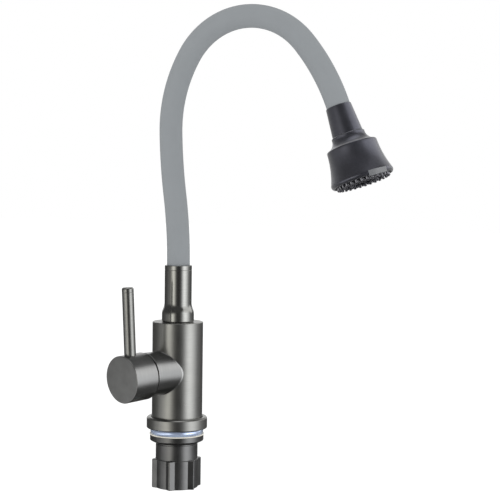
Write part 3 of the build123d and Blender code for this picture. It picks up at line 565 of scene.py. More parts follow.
def moulded(name, colour, smoothest, roughest, grain=2600, depth=0.004, drift=0.1, **looks):
    """Moulded plastic or rubber with a fine grain."""
    finish, tree, shader = new_finish(name, colour, roughest, **looks)
    grains = pattern(tree, (grain, grain, grain), detail=2.0)
    clouds = pattern(tree, (75, 75, 75))
    vary_colour(tree, shader, clouds, shade(colour, 1 - drift), shade(colour, 1 + drift))
    vary_roughness(tree, shader, clouds, smoothest, roughest)
    emboss(tree, shader, grains, depth)
    return finish


# %% [markdown]
# ### The finishes of this mixer
# The column, flange and cap are satin gunmetal. The housing and the cap get a lighter copy of that
# colour, which is painted light. The neck has the same colour with a brighter polish, and the lever's
# colour is made a shade darker, which is painted shade. The nut and its washer are dark nylon, a
# little glossier than the charcoal head, whose skin feels soft and gets a sheen for that. The hose is
# plain matt silicone in the middle of the grey scale.

# %% Make the finishes
GUNMETAL = (0.285, 0.285, 0.272)
# The gunmetal made lighter for the housing and the cap: painted light on their round sides.
SIDE_GUNMETAL_PAINTED_LIGHT = (0.315, 0.316, 0.312)
# The gunmetal made darker for the lever: painted shade.
LEVER_GUNMETAL_PAINTED_SHADE = shade(GUNMETAL, 0.92)
BRASS_COLOUR = (0.62, 0.47, 0.24)
STEEL_COLOUR = (0.52, 0.52, 0.53)
NYLON_COLOUR = (0.15, 0.15, 0.15)
CHARCOAL = (0.108, 0.110, 0.134)
SILICONE_COLOUR = (0.262, 0.279, 0.292)
FACE_BLACK = (0.012, 0.012, 0.013)
TIP_GREY = (0.21, 0.21, 0.23)
TAB_GREY = (0.155, 0.16, 0.17)
SEAL_BLUE = (0.62, 0.74, 1.0)
FIBRE_COLOUR = (0.78, 0.75, 0.66)
RUBBER_BLACK = (0.02, 0.02, 0.02)
CARTRIDGE_GREY = (0.62, 0.64, 0.66)
CERAMIC_WHITE = (0.85, 0.85, 0.83)
TUBE_WHITE = (0.74, 0.78, 0.80)

column_finish = turned_metal("satin_gunmetal_column", GUNMETAL, 0.27, 0.33, COLUMN_PLACE)
# The housing's and the cap's finishes use the lighter gunmetal, which is painted light.
housing_finish = turned_metal("satin_gunmetal_housing_painted_light", SIDE_GUNMETAL_PAINTED_LIGHT, 0.27, 0.33, HOUSING_PLACE)
cap_finish = turned_metal("satin_gunmetal_cap_painted_light", SIDE_GUNMETAL_PAINTED_LIGHT, 0.27, 0.33, CAP_PLACE)
neck_finish = turned_metal("bright_gunmetal_neck", GUNMETAL, 0.15, 0.19, COLUMN_PLACE, depth=0.0005)
# The lever's finish uses the darker gunmetal, which is painted shade.
lever_finish = turned_metal(
    "gunmetal_lever_painted_darker", LEVER_GUNMETAL_PAINTED_SHADE, 0.27, 0.31, CAP_PLACE @ UPWARDS, depth=0.0006
)
brass_finish = turned_metal("machined_brass", BRASS_COLOUR, 0.22, 0.32, COLUMN_PLACE)
steel_finish = turned_metal("bright_steel", STEEL_COLOUR, 0.2, 0.3, COLUMN_PLACE)
nylon_finish = moulded("dark_nylon", NYLON_COLOUR, 0.27, 0.33, depth=0.002, metallic=0.95)
silicone_finish = moulded(
    "grey_silicone", SILICONE_COLOUR, 0.66, 0.7, grain=1800, depth=0.003, drift=0.012, specular=0.25
)
head_finish = moulded("charcoal_head", CHARCOAL, 0.33, 0.37, depth=0.003, metallic=0.95, sheen=0.42)
face_finish = moulded("black_face", FACE_BLACK, 0.16, 0.24, depth=0.002)
tip_finish = moulded("glossy_nozzle_rubber", TIP_GREY, 0.08, 0.12, depth=0.002, metallic=0.95)
tab_finish = moulded("grey_tab", TAB_GREY, 0.22, 0.3, depth=0.002, coat=0.4)
gasket_finish = moulded(
    "blue_clear_gasket", SEAL_BLUE, 0.17, 0.21, depth=0.001, drift=0.02, metallic=0.6, coat=1.0
)
fibre_finish = moulded("pale_fibre", FIBRE_COLOUR, 0.5, 0.6, depth=0.006)
rubber_finish = moulded("black_rubber", RUBBER_BLACK, 0.45, 0.55)
cartridge_finish = moulded("cartridge_plastic", CARTRIDGE_GREY, 0.3, 0.4, depth=0.003)
ceramic_finish = moulded("lapped_ceramic", CERAMIC_WHITE, 0.08, 0.14, depth=0.0005, coat=0.5)
tube_finish = moulded("water_tube", TUBE_WHITE, 0.3, 0.4, depth=0.002)
print("finishes", len(bpy.data.materials))

# %% [markdown]
# ### Handing a piece over
# A finished piece gets its material and the body that it moves with, and the engineering node that it
# stands for is hidden. Most pieces go through the same steps, so they are listed by cell and made in
# one loop.


def give(piece, finish):
    """The piece's only material."""
    piece.data.materials.clear()
    piece.data.materials.append(finish)


def hand_over(piece, finish, body, slot, *nodes):
    """Material, body, slot (not used) and the engineering nodes that the piece replaces."""
    if finish is not None:
        give(piece, finish)
    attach(piece, body)
    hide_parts(*nodes)
    print(f"{piece.name}: {len(piece.data.polygons)} faces on {body}")


def make_all(rows, place=None):
    """Makes and smooths each piece of a list, puts it in its place and hands it over."""
    for make, finish, body, slot, node in rows:
        piece = make()
        smooth(piece)
        if place is not None:
            put(piece, place)
        hand_over(piece, finish, body, slot, node)


# %% [markdown]
# ## The column
# The column is one casting: an upright cylinder with a socket for the spout above, a round recess
# for the threaded stem below, and a chamber for the cartridge at its side. It is turned as a solid
# of revolution, and the chamber, the two inlets and the hole of the grub screw are cut from it.

# %% Turn the column
column_low, column_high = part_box("mixer_body")
COLUMN_R = column_high.x / MM
COLUMN_TOP = column_high.z / MM
COLUMN_FOOT = column_low.z / MM
SOCKET_R = 11.0
SOCKET_BOTTOM = 73.0
STEM_RECESS_R = 16.45
STEM_RECESS_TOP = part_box("threaded_shank")[1].z / MM
CHAMBER_R = 17.8
CHAMBER_FLOOR = 5.0
INLET_R = 4.5
INLET_DEPTH = 12.0
INLETS = [mount["pos_m"] for mount in frame["record"]["mounts"] if mount["name"].startswith("inlet")]
SCREW_HOLE_R = 2.45
SCREW_HOLE_Z = 84.0
SCREW_HOLE_END = 9.6
FINE_STEPS = 240
KEEPER_PLACE = Matrix.Translation((0, 0, SCREW_HOLE_Z * MM)) @ BACKWARDS


def turn_column():
    """The column with its socket, recess, chamber, inlets and screw hole."""
    recess = [(0, STEM_RECESS_TOP), (STEM_RECESS_R, STEM_RECESS_TOP), (STEM_RECESS_R, COLUMN_FOOT)]
    wall = [(COLUMN_R, COLUMN_FOOT, 0.3), (COLUMN_R, COLUMN_TOP, 0.55)]
    socket = [(SOCKET_R, COLUMN_TOP, 0.3), (SOCKET_R, SOCKET_BOTTOM), (0, SOCKET_BOTTOM)]
    column = lathe("mixer_column", recess + wall + socket, steps=FINE_STEPS)
    chamber = rod("chamber", CHAMBER_R, CHAMBER_FLOOR, COLUMN_R + 1, 96)
    screw_hole = rod("screw_hole", SCREW_HOLE_R, SCREW_HOLE_END, COLUMN_R + 1)
    holes = [put(chamber, HOUSING_PLACE), put(screw_hole, KEEPER_PLACE)]
    for x, y, z in INLETS:
        hole = rod("inlet", INLET_R, -1, INLET_DEPTH)
        holes.append(put(hole, Matrix.Translation((x, y, z))))
    return cut(column, *holes)


column = turn_column()
print("column", len(column.data.polygons), "faces")

# %% [markdown]
# ### The housing at its side
# The housing is a tube that grows out of the column with a small hollow fillet. A boolean and a bevel
# would leave a ragged seam on a curved surface. Instead the tube is turned with its height measured
# from the column's skin, and each corner is then pushed out by the depth of that skin at its place,
# so the root and its fillet follow the column exactly. The mouth is flat and leans with the closed cap.

# %% Turn the housing and fit it to the column
HOUSING_R = 19.3
HOUSING_END = 38.6
FILLET = 0.45
BURIED = 0.6


def turn_housing():
    """The side tube, whose root is draped on the column."""
    length = HOUSING_END - COLUMN_R
    foot_r = HOUSING_R + FILLET
    belly = (HOUSING_R + FILLET * (1 - sin(pi / 4)), FILLET * (1 - cos(pi / 4)))
    root = arc((foot_r, 0), belly, (HOUSING_R, FILLET), 6)
    wall = [(HOUSING_R, FILLET + (length - FILLET) * i / 6) for i in range(1, 6)]
    mouth = [(HOUSING_R, length, 0.35), (CHAMBER_R, length, 0.25)]
    corners = [(CHAMBER_R, -BURIED), (foot_r, -BURIED)] + root + wall + mouth
    housing = lathe("housing", corners, steps=FINE_STEPS)
    past_pivot = (HOUSING_END * MM - pivot_out) / cos(LEVER_LEAN)
    for vertex in housing.data.vertices:
        skin = sqrt((COLUMN_R * MM) ** 2 - vertex.co.x**2)
        end = pivot_out + past_pivot + vertex.co.y * tan(LEVER_LEAN)
        vertex.co.z = skin + vertex.co.z * (end - skin) / (length * MM)
    return put(housing, HOUSING_PLACE)


housing = turn_housing()
give(column, column_finish)
# The housing gets the lighter gunmetal, which is painted light, and the column gets the plain one.
give(housing, housing_finish)
column = join(column, housing)
smooth(column)
hand_over(column, None, "root", "satin_gunmetal", "mixer_body")

# %% [markdown]
# ## The flange and the seals under it
# The flange is a short ring with a chamfered upper edge and a narrow groove round the column's foot.
# Under it sit a clear bluish gasket with a rounded side, a thin pale fibre ring, and the dark nylon
# washer that tapers towards the nut.

# %% Turn the flange, gasket, fibre ring and washer
FLANGE_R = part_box("base_flange")[1].x / MM
FLANGE_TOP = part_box("base_flange")[1].z / MM
GASKET_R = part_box("base_gasket")[1].x / MM
GASKET_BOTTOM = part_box("base_gasket")[0].z / MM
WASHER_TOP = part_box("clamp_washer")[1].z / MM
WASHER_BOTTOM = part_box("clamp_washer")[0].z / MM
FLANGE_BORE_R = 16.7
FLANGE_GROOVE_R = 23.1
GASKET_SEAT_R, GASKET_SEAT_TOP = 24.1, 3.5
SEAL_BORE_R = 17.0
GASKET_TOP = 3.4
GASKET_ROUND = 1.0
WASHER_BORE_R = 16.8
WASHER_EDGE_BOTTOM = -10.9
WASHER_CONE_BOTTOM = -13.3
WASHER_RIM_R = 18.1


def turn_flange():
    """The round foot that stands on the worktop."""
    seat = [(FLANGE_BORE_R, GASKET_SEAT_TOP), (GASKET_SEAT_R, GASKET_SEAT_TOP), (GASKET_SEAT_R, 0, 0.15)]
    side = [(FLANGE_R - 0.6, 0, 0.2), (FLANGE_R, 0.6, 0.2), (FLANGE_R, FLANGE_TOP - 1.1, 0.25)]
    top = [(FLANGE_R - 1.1, FLANGE_TOP, 0.25), (FLANGE_GROOVE_R, FLANGE_TOP, 0.2)]
    groove_floor = [(FLANGE_GROOVE_R, COLUMN_FOOT), (FLANGE_BORE_R, COLUMN_FOOT)]
    return lathe("base_flange_ring", seat + side + top + groove_floor, steps=200)


def turn_gasket():
    """The soft seal, rounded at its side."""
    flat_r = GASKET_R - GASKET_ROUND
    side = arc((flat_r, GASKET_BOTTOM), (GASKET_R, GASKET_BOTTOM / 2), (flat_r, 0), 14)
    top = [(flat_r, GASKET_TOP), (SEAL_BORE_R, GASKET_TOP)]
    return lathe("clear_gasket", [(SEAL_BORE_R, GASKET_BOTTOM)] + side + top)


def turn_fibre_ring():
    """The thin pale ring."""
    fibre_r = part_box("clamp_seal")[1].x / MM
    side = [(fibre_r, WASHER_TOP, 0.3), (fibre_r, GASKET_BOTTOM, 0.3)]
    return lathe("fibre_ring", [(SEAL_BORE_R, WASHER_TOP), *side, (SEAL_BORE_R, GASKET_BOTTOM)])


def turn_washer():
    """The nylon washer, a short cylinder over a cone."""
    washer_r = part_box("clamp_washer")[1].x / MM
    top = [(WASHER_BORE_R, WASHER_TOP), (washer_r, WASHER_TOP, 0.3)]
    cone = [(washer_r, WASHER_EDGE_BOTTOM, 0.6), (18.8, WASHER_CONE_BOTTOM, 0.4)]
    rim = [(WASHER_RIM_R, WASHER_CONE_BOTTOM), (WASHER_RIM_R, WASHER_BOTTOM)]
    return lathe("nylon_washer", top + cone + rim + [(WASHER_BORE_R, WASHER_BOTTOM)])


make_all([
    (turn_flange, column_finish, "root", "satin_gunmetal", "base_flange"),
    (turn_gasket, gasket_finish, "root", "clear_seal", "base_gasket"),
    (turn_fibre_ring, fibre_finish, "clamp", "pale_fibre", "clamp_seal"),
    (turn_washer, nylon_finish, "clamp", "dark_nylon", "clamp_washer"),
])

# %% [markdown]
# ## The threaded stem
# The stem is a hollow tube with an M33 x 1.5 thread. The tube is turned at the thread's root. The
# thread itself is a small triangle that the Screw modifier winds up the tube, one pitch a turn, and
# its two ends are filled. It shows when the nut is wound down.

# %% Turn the stem and wind its thread
STEM_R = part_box("threaded_shank")[1].x / MM
STEM_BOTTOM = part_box("threaded_shank")[0].z / MM
STEM_BORE_R = 13.4
THREAD_PITCH = 1.5
THREAD_DEPTH = 0.55
THREAD_TOP = -11.0
THREAD_START = STEM_BOTTOM + 1.2
THREAD_BURIED = 0.15
THREAD_HALF = 0.47 * THREAD_PITCH
THREAD_STEPS = 64


def turn_stem():
    """The hollow stem at the thread's root, with its plain upper end."""
    root_r = STEM_R - THREAD_DEPTH
    plain = [(STEM_BORE_R, STEM_RECESS_TOP), (STEM_R, STEM_RECESS_TOP), (STEM_R, THREAD_TOP + 1.2, 0.2)]
    root = [(root_r, THREAD_TOP + 0.6, 0.2), (root_r, STEM_BOTTOM, 0.3), (STEM_BORE_R, STEM_BOTTOM, 0.3)]
    return lathe("threaded_stem", plain + root)


def wind_thread():
    """One closed triangular bar, wound round the stem."""
    settle()
    bpy.ops.mesh.primitive_circle_add(vertices=3, radius=MM)
    thread = bpy.context.object
    thread.name = "thread"
    root = STEM_R - THREAD_DEPTH - THREAD_BURIED
    triangle = ((root, -THREAD_HALF), (STEM_R - 0.03, 0), (root, THREAD_HALF))
    for vertex, (radius, height) in zip(thread.data.vertices, triangle):
        vertex.co = (radius * MM, 0, (THREAD_START + height) * MM)
    turns = int((THREAD_TOP - THREAD_START) / THREAD_PITCH)
    steps = {"steps": THREAD_STEPS, "render_steps": THREAD_STEPS}
    apply_modifier(thread, "SCREW", screw_offset=THREAD_PITCH * MM, iterations=turns, **steps)
    edit(thread)
    bpy.ops.mesh.fill_holes(sides=0)
    bpy.ops.mesh.select_all(action="SELECT")
    bpy.ops.mesh.normals_make_consistent(inside=False)
    done()
    return thread


stem = join(turn_stem(), wind_thread())
smooth(stem, 30)
hand_over(stem, brass_finish, "root", "brass", "threaded_shank")

# %% [markdown]
# ## The nut
# The nut has a plain collar over a grip with six wedge-shaped ribs for the hand. The whole nut is
# turned first, in steps of one and a half degrees. Then the grip's outer corners are pushed out from
# the axis to the outline of the wedges. A bevel rounds every real edge as a mould would.

# %% Turn the nut and raise its ribs
NUT_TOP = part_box("wing_nut")[1].z / MM
NUT_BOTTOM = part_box("wing_nut")[0].z / MM
NUT_COLLAR_R = 18.7
NUT_CORE_R = 19.3
NUT_CORE_EDGE = 0.45
NUT_RIB_R = 22.3
NUT_BORE_R = 16.5
NUT_RIBS_TOP = -27.5
NUT_RIBS = 6
NUT_FIRST_RIB = radians(41.4)
NUT_CREST = radians(1.5)
NUT_RIB_FOOT = radians(12.0)


def rib_radius(angle):
    """How far out the grip reaches at an angle from the middle of a rib."""
    if angle < NUT_CREST + 0.001:
        return NUT_RIB_R
    if angle > NUT_RIB_FOOT - 0.001:
        return NUT_CORE_R
    ax, ay = NUT_RIB_R * cos(NUT_CREST), NUT_RIB_R * sin(NUT_CREST)
    bx, by = NUT_CORE_R * cos(NUT_RIB_FOOT), NUT_CORE_R * sin(NUT_RIB_FOOT)
    return (ax * by - ay * bx) / (cos(angle) * (by - ay) - sin(angle) * (bx - ax))


def make_nut():
    """The collar and the ribbed grip."""
    edge_r = NUT_CORE_R - NUT_CORE_EDGE
    collar = [(NUT_BORE_R, NUT_TOP), (NUT_COLLAR_R, NUT_TOP, 0.3), (NUT_COLLAR_R, NUT_RIBS_TOP)]
    grip_top = [(edge_r, NUT_RIBS_TOP), (NUT_CORE_R, NUT_RIBS_TOP - NUT_CORE_EDGE)]
    grip_foot = [(NUT_CORE_R, NUT_BOTTOM + NUT_CORE_EDGE), (edge_r, NUT_BOTTOM)]
    corners = collar + grip_top + grip_foot + [(NUT_BORE_R, NUT_BOTTOM)]
    nut = lathe("ribbed_nut", corners, steps=FINE_STEPS)
    spacing = 2 * pi / NUT_RIBS
    for vertex in nut.data.vertices:
        co = vertex.co
        if hypot(co.x, co.y) > (NUT_COLLAR_R + 0.05) * MM:
            off = (atan2(co.y, co.x) + spacing / 2) % spacing - spacing / 2
            growth = rib_radius(abs(off)) / NUT_CORE_R
            co.x, co.y = co.x * growth, co.y * growth
    round_edges(nut, 0.3, 26)
    return put(nut, Matrix.Rotation(NUT_FIRST_RIB, 4, "Z"))


nut = make_nut()
smooth(nut)
hand_over(nut, nylon_finish, "nut", "dark_nylon", "wing_nut")

# %% [markdown]
# ## The neck, its bearing ring and the grub screw
# The neck is a bright tube with a flared foot. It hides the hose's lower end and turns on the column
# with the spout. A black glide ring leaves a fine dark line under it. At the back of the column a
# grub screw keeps the spout from lifting out.

# %% Turn the neck and the ring
NECK_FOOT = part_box("neck_sleeve")[0].z / MM
NECK_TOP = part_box("neck_sleeve")[1].z / MM
NECK_FOOT_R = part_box("neck_sleeve")[1].x / MM
NECK_R = 12.05
NECK_BORE_R = 10.2
NECK_SHOULDER = 114.0
NECK_SKIRT_R, NECK_SKIRT_TOP = 11.5, 100.0
NECK_THREAD_R, NECK_THREAD_TOP = 9.55, 112.0
TUBE_HOLE_R = 5.55
FLARE_LOW, FLARE_HIGH = 101.5, 112.0
FLARE_BULGE = 0.28
GROOVE_DOWN = 4.2
GROOVE_WIDTH = 0.5
GROOVE_DEPTH = 0.14


def groove(radius, height):
    """A fine turned line round a rod."""
    half = GROOVE_WIDTH / 2
    return [(radius, height - half), (radius - GROOVE_DEPTH, height), (radius, height + half)]


def turn_neck():
    """The flared tube, with a soft S between its foot and its upper part."""
    middle_r, middle_z = (NECK_FOOT_R + NECK_R) / 2, (FLARE_LOW + FLARE_HIGH) / 2
    lower = ((NECK_FOOT_R + middle_r) / 2 + FLARE_BULGE, (FLARE_LOW + middle_z) / 2)
    upper = ((NECK_R + middle_r) / 2 - FLARE_BULGE, (FLARE_HIGH + middle_z) / 2)
    foot = [(NECK_SKIRT_R, NECK_FOOT), (NECK_FOOT_R, NECK_FOOT, 0.4)]
    flare = arc((NECK_FOOT_R, FLARE_LOW), lower, (middle_r, middle_z), 8)
    flare += arc((middle_r, middle_z), upper, (NECK_R, FLARE_HIGH), 8)[1:]
    line = groove(NECK_R, NECK_TOP - GROOVE_DOWN)
    top = [(NECK_R, NECK_TOP, 0.45), (NECK_BORE_R, NECK_TOP, 0.2), (NECK_BORE_R, NECK_SHOULDER)]
    throat = [(TUBE_HOLE_R, NECK_SHOULDER), (TUBE_HOLE_R, NECK_THREAD_TOP)]
    thread = [(NECK_THREAD_R, NECK_THREAD_TOP), (NECK_THREAD_R, NECK_SKIRT_TOP)]
    inside = throat + thread + [(NECK_SKIRT_R, NECK_SKIRT_TOP)]
    return lathe("neck_tube", foot + flare + line + top + inside)


def turn_glide_ring():
    """The black ring between the column and the neck."""
    side = [(13.4, COLUMN_TOP, 0.1), (13.4, NECK_FOOT, 0.1)]
    return lathe("glide_washer", [(10.9, COLUMN_TOP), *side, (10.9, NECK_FOOT)])


make_all([
    (turn_neck, neck_finish, "spout_foot", "glossy_gunmetal", "neck_sleeve"),
    (turn_glide_ring, rubber_finish, "spout_foot", "black_rubber", "glide_ring"),
])

# %% [markdown]
# ### Grub screws
# Both grub screws are turned rods with a six-sided hole for the key. The hole is a boolean with a
# six-step rod, which gives it flat sides.

# %% Make the grub screws
SCREW_R = 2.4
KEY_R = 1.3
KEY_DEPTH = 2.0
KEEPER_END = 21.6
KEEPER_TIP = (1.9, 12.0)


def grub_screw(name, radius, low, high, tip=None):
    """A screw along Z with its key hole at the high end, and a thinner tip if it has one."""
    corners = [(0, low), (radius, low, 0.3), (radius, high, 0.3), (0, high)]
    if tip:
        tip_r, tip_end = tip
        corners[:2] = [(0, low), (tip_r, low, 0.2), (tip_r, tip_end), (radius, tip_end, 0.2)]
    screw = lathe(name, corners, steps=64)
    cut(screw, rod("key_hole", KEY_R, high - KEY_DEPTH, high + 1, 6))
    smooth(screw)
    return screw


keeper = grub_screw("keeper_grub_screw", SCREW_R, SCREW_HOLE_END, KEEPER_END, KEEPER_TIP)
put(keeper, KEEPER_PLACE)
hand_over(keeper, steel_finish, "root", "steel", "retaining_screw")

# %% [markdown]
# ## The handle
# The cap is a thick disc, hollow behind, that swings in front of the housing with the lever. Its
# face is plain with a rounded rim. The lever is a slim rod with a softly rounded top, and a small
# screw under the cap holds the handle on its stem. All of it leans outwards by about three degrees.

# %% Turn the cap, the lever and the ring behind
CAP_R = 20.7
CAP_BORE_R = 19.75
CAP_REAR = 40.75
CAP_FACE = 65.0
CAP_WEB = 49.7
LEVER_R = 5.1
LEVER_OUT = 54.5
LEVER_FOOT = CAP_R - 2.5
LEVER_TOP = 79.3
HANDLE_SCREW_START, HANDLE_SCREW_END = 3.5, 15.0
BONNET_BORE_R, BONNET_R = 12.2, 17.7
BONNET_REAR, BONNET_FRONT = 36.2, 37.4
lever_line = CAP_PLACE @ Matrix.Translation((0, 0, LEVER_OUT * MM))
LEVER_PLACE = lever_line @ UPWARDS
HANDLE_SCREW_PLACE = lever_line @ DOWNWARDS


def turn_cap():
    """The hollow cap with the hole for its screw."""
    hollow = [(0, CAP_WEB), (CAP_BORE_R, CAP_WEB, 1.0), (CAP_BORE_R, CAP_REAR, 0.2)]
    outside = [(CAP_R, CAP_REAR, 0.3), (CAP_R, CAP_FACE, 0.65), (0, CAP_FACE)]
    cap = put(lathe("handle_cap_shell", hollow + outside, steps=200), CAP_PLACE)
    hole = rod("screw_hole", SCREW_R + 0.05, HANDLE_SCREW_END - 3, CAP_R + 1)
    return cut(cap, put(hole, HANDLE_SCREW_PLACE))


def turn_lever():
    """The round lever with its fine line and its rounded top."""
    shoulder, brow = (LEVER_R, LEVER_TOP - 1.4), (LEVER_R - 0.42, LEVER_TOP - 0.4)
    top = arc(shoulder, brow, (LEVER_R - 1.5, LEVER_TOP), 8)
    line = groove(LEVER_R, LEVER_TOP - GROOVE_DOWN)
    corners = [(0, LEVER_FOOT), (LEVER_R, LEVER_FOOT), *line, *top, (0, LEVER_TOP)]
    return put(lathe("lever_rod", corners, steps=96), LEVER_PLACE)


def turn_bonnet():
    """The thin ring over the cartridge nut."""
    rear = [(BONNET_BORE_R, BONNET_REAR), (BONNET_R, BONNET_REAR)]
    front = [(BONNET_R, BONNET_FRONT, 0.4), (BONNET_BORE_R, BONNET_FRONT, 0.3)]
    return put(lathe("bonnet_cover", rear + front), HOUSING_PLACE)


make_all([
    (turn_cap, cap_finish, "handle", "satin_gunmetal", "handle_cap"),
    (turn_lever, lever_finish, "handle", "glossy_gunmetal", "lever_pin"),
    # The bonnet shares the housing's lighter gunmetal, which is painted light.
    (turn_bonnet, housing_finish, "root", "glossy_gunmetal", "bonnet_ring"),
])
cap_screw = grub_screw("cap_grub_screw", SCREW_R, HANDLE_SCREW_START, HANDLE_SCREW_END)
put(cap_screw, HANDLE_SCREW_PLACE)
hand_over(cap_screw, steel_finish, "handle", "steel", "handle_screw")

# %% [markdown]
# ## The hose
# The hose is a silicone sleeve over a steel gooseneck, with the water tube inside. It stays where it
# is bent, so it is a stiff part of the mixer and not a free cord. Its middle line is a chain of
# tangent arcs in the spout's plane. A ring of corners is spun about the centre of each arc in turn,
# and Solidify gives the wall. Stiff stretches ride on their bodies. The short zones between them are
# separate tubes that follow the bends and are not attached to a body.

# %% The middle line of the hose
HOSE_START = -33.5
HOSE_ARCS = [(7.94, 435.0), (-6.46, 492.0), (-32.7, 124.65), (-107.85, 67.6), (-20.38, 180.5)]
HOSE_IN_HEAD = 12.0
BEND_MIDDLES = [40.0, 95.0, 165.0, 262.0]
BEND_LENGTHS = [28.0, 28.0, 30.0, 32.0]
hose_stretches = [(-HOSE_START, 0.0)]
hose_stretches += [(radians(abs(turn)) * radius, turn) for turn, radius in HOSE_ARCS]
hose_stretches += [(HOSE_IN_HEAD, 0.0)]
HOSE_END = sum(length for length, _ in hose_stretches) + HOSE_START


def along_hose(distance):
    """The place at a distance along the middle line, and the heading there."""
    x, z, heading, left = 0.0, NECK_SHOULDER, 90.0, distance - HOSE_START
    for length, turn in hose_stretches:
        part = min(left, length)
        swing = turn * part / length
        chord = 2 * length / radians(abs(turn)) * sin(radians(abs(swing)) / 2) if turn else part
        x += chord * cos(radians(heading + swing / 2))
        z += chord * sin(radians(heading + swing / 2))
        heading += swing
        left -= part
        if left < 1e-9:
            break
    return Vector((x, 0, z)) * MM, radians(heading)


for name, middle in zip(("low", "side", "mid", "top"), BEND_MIDDLES):
    miss = along_hose(middle)[0] - Vector(joints[f"hose_bend_{name}"]["pos_m"])
    print(f"hose bend {name}: {miss.length / MM:.4f} mm from its joint")

# %% [markdown]
# ### One tube of the hose
# The ring starts square to the middle line. On an arc the spin operator carries it about the arc's
# centre, and on a straight stretch it is extruded. Steps of about a millimetre keep the bends smooth.
# The two inner layers are hidden, so only their bends are made anew.

# %% Make the tubes
HOSE_SIDES = 72
HOSE_STEP = 1.2


def hose_tube(name, start, end, outer_r, wall):
    """A stretch of tube along the middle line, with its wall."""
    settle()
    place, heading = along_hose(start)
    bpy.ops.mesh.primitive_circle_add(vertices=HOSE_SIDES, radius=outer_r * MM)
    tube = bpy.context.object
    tube.name = tube.data.name = name
    put(tube, Matrix.Translation(place) @ Matrix.Rotation(pi / 2 - heading, 4, "Y"))
    edit(tube)
    done_to = HOSE_START
    for (length, turn), radius in zip(hose_stretches, [0] + [r for _, r in HOSE_ARCS] + [0]):
        low, high = max(start, done_to), min(end, done_to + length)
        done_to += length
        if high - low < 1e-6:
            continue
        steps = max(2, round((high - low) / HOSE_STEP))
        here, heading = along_hose(low)
        if turn:
            side = 1 if turn > 0 else -1
            centre = here + side * radius * MM * Vector((-sin(heading), 0, cos(heading)))
            bpy.ops.mesh.spin(steps=steps, angle=(high - low) / radius, center=centre, axis=(0, side, 0))
        else:
            ahead = Vector((cos(heading), 0, sin(heading))) * (high - low) * MM / steps
            for _ in range(steps):
                bpy.ops.mesh.extrude_region_move(TRANSFORM_OT_translate={"value": ahead})
    close_seams(tube)
    apply_modifier(tube, "SOLIDIFY", thickness=wall * MM, offset=-1.0)
    smooth(tube, 50)
    return tube


HOSE_LAYERS = {
    "sleeve": (10.15, 2.25, silicone_finish, "grey_silicone"),
    "core": (7.85, 2.0, steel_finish, "steel"),
    "tube": (5.5, 1.9, tube_finish, "water_tube"),
}
HOSE_BODIES = ["spout_foot", "hose_2", "hose_3", "hose_4", "hose_5"]


def hose_ends():
    """Where each stiff stretch and each bend starts, and where the last one ends."""
    ends = [HOSE_START]
    for middle, length in zip(BEND_MIDDLES, BEND_LENGTHS):
        ends += [middle - length / 2, middle + length / 2]
    return ends + [HOSE_END]


def blend_bend(tube, start, end):
    """Works out a bend's chord and lean, which nothing uses, and bakes the tube's place into its mesh."""
    first, last = along_hose(start)[0], along_hose(end)[0]
    chord = (last - first).normalized()
    lean = max(abs(sin(along_hose(d)[1] - atan2(chord.z, chord.x))) for d in (start, end))
    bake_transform(tube)


ends = hose_ends()
for layer, (outer_r, wall, finish, slot) in HOSE_LAYERS.items():
    for i in range(len(ends) - 1):
        number, is_bend = i // 2, i % 2
        if layer != "sleeve" and not is_bend:
            continue
        kind = "bend" if is_bend else "span"
        tube = hose_tube(f"{layer}_{kind}_{number + 1}", ends[i], ends[i + 1], outer_r, wall)
        node = f"hose_{layer}_{kind}_{number + 1}"
        if is_bend:
            give(tube, finish)
            blend_bend(tube, ends[i], ends[i + 1])
            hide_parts(node)
        else:
            hand_over(tube, finish, HOSE_BODIES[number], slot, node)

# %% [markdown]
# ## The spray head
# The head hangs on the hose's end. A tapered sleeve leads into a bell with a small ledge, a hollow
# flare up to a shoulder, and a skirt that widens to the rim. The outline joins these with arcs.

# %% Turn the sleeve and the bell
SLEEVE_TOP_R, SLEEVE_FOOT_R, SLEEVE_END = 10.95, 13.2, 25.0
SLEEVE_BORE_R, SWIVEL_SHOULDER, SPIGOT_BORE_R = 10.25, 15.0, 7.0
CLIP_ROOM_R, CLIP_ROOM_TOP = 9.0, 22.6
SLEEVE_THREAD_R, SLEEVE_THREAD_END = 11.5, 30.0
SHELL_THREAD_R, SHELL_THREAD_END = 11.55, 31.0
LEDGE_R = 14.35
SKIRT_R, SKIRT_WIDEST, SKIRT_END = 27.1, 63.2, 66.4
RIM_BORE_R, RIM_BORE_TOP = 25.2, 61.9
POST_R, POST_END = 8.0, 57.9
OUTLET_BORE_R, WATERWAY_R, WATERWAY_END = 5.55, 4.5, 47.9


def turn_sleeve():
    """The tapered sleeve that takes the hose's end."""
    outside = [(SLEEVE_BORE_R, 0, 0.12), (SLEEVE_TOP_R, 0, 0.25), (SLEEVE_FOOT_R, SLEEVE_END, 0.35)]
    thread = [(SLEEVE_THREAD_R, SLEEVE_END), (SLEEVE_THREAD_R, SLEEVE_THREAD_END)]
    clip_room = [(CLIP_ROOM_R, SLEEVE_THREAD_END), (CLIP_ROOM_R, CLIP_ROOM_TOP)]
    spigot_bore = [(SPIGOT_BORE_R, CLIP_ROOM_TOP), (SPIGOT_BORE_R, SWIVEL_SHOULDER)]
    bore = [(SLEEVE_BORE_R, SWIVEL_SHOULDER)]
    return lathe("head_sleeve_cone", outside + thread + clip_room + spigot_bore + bore)


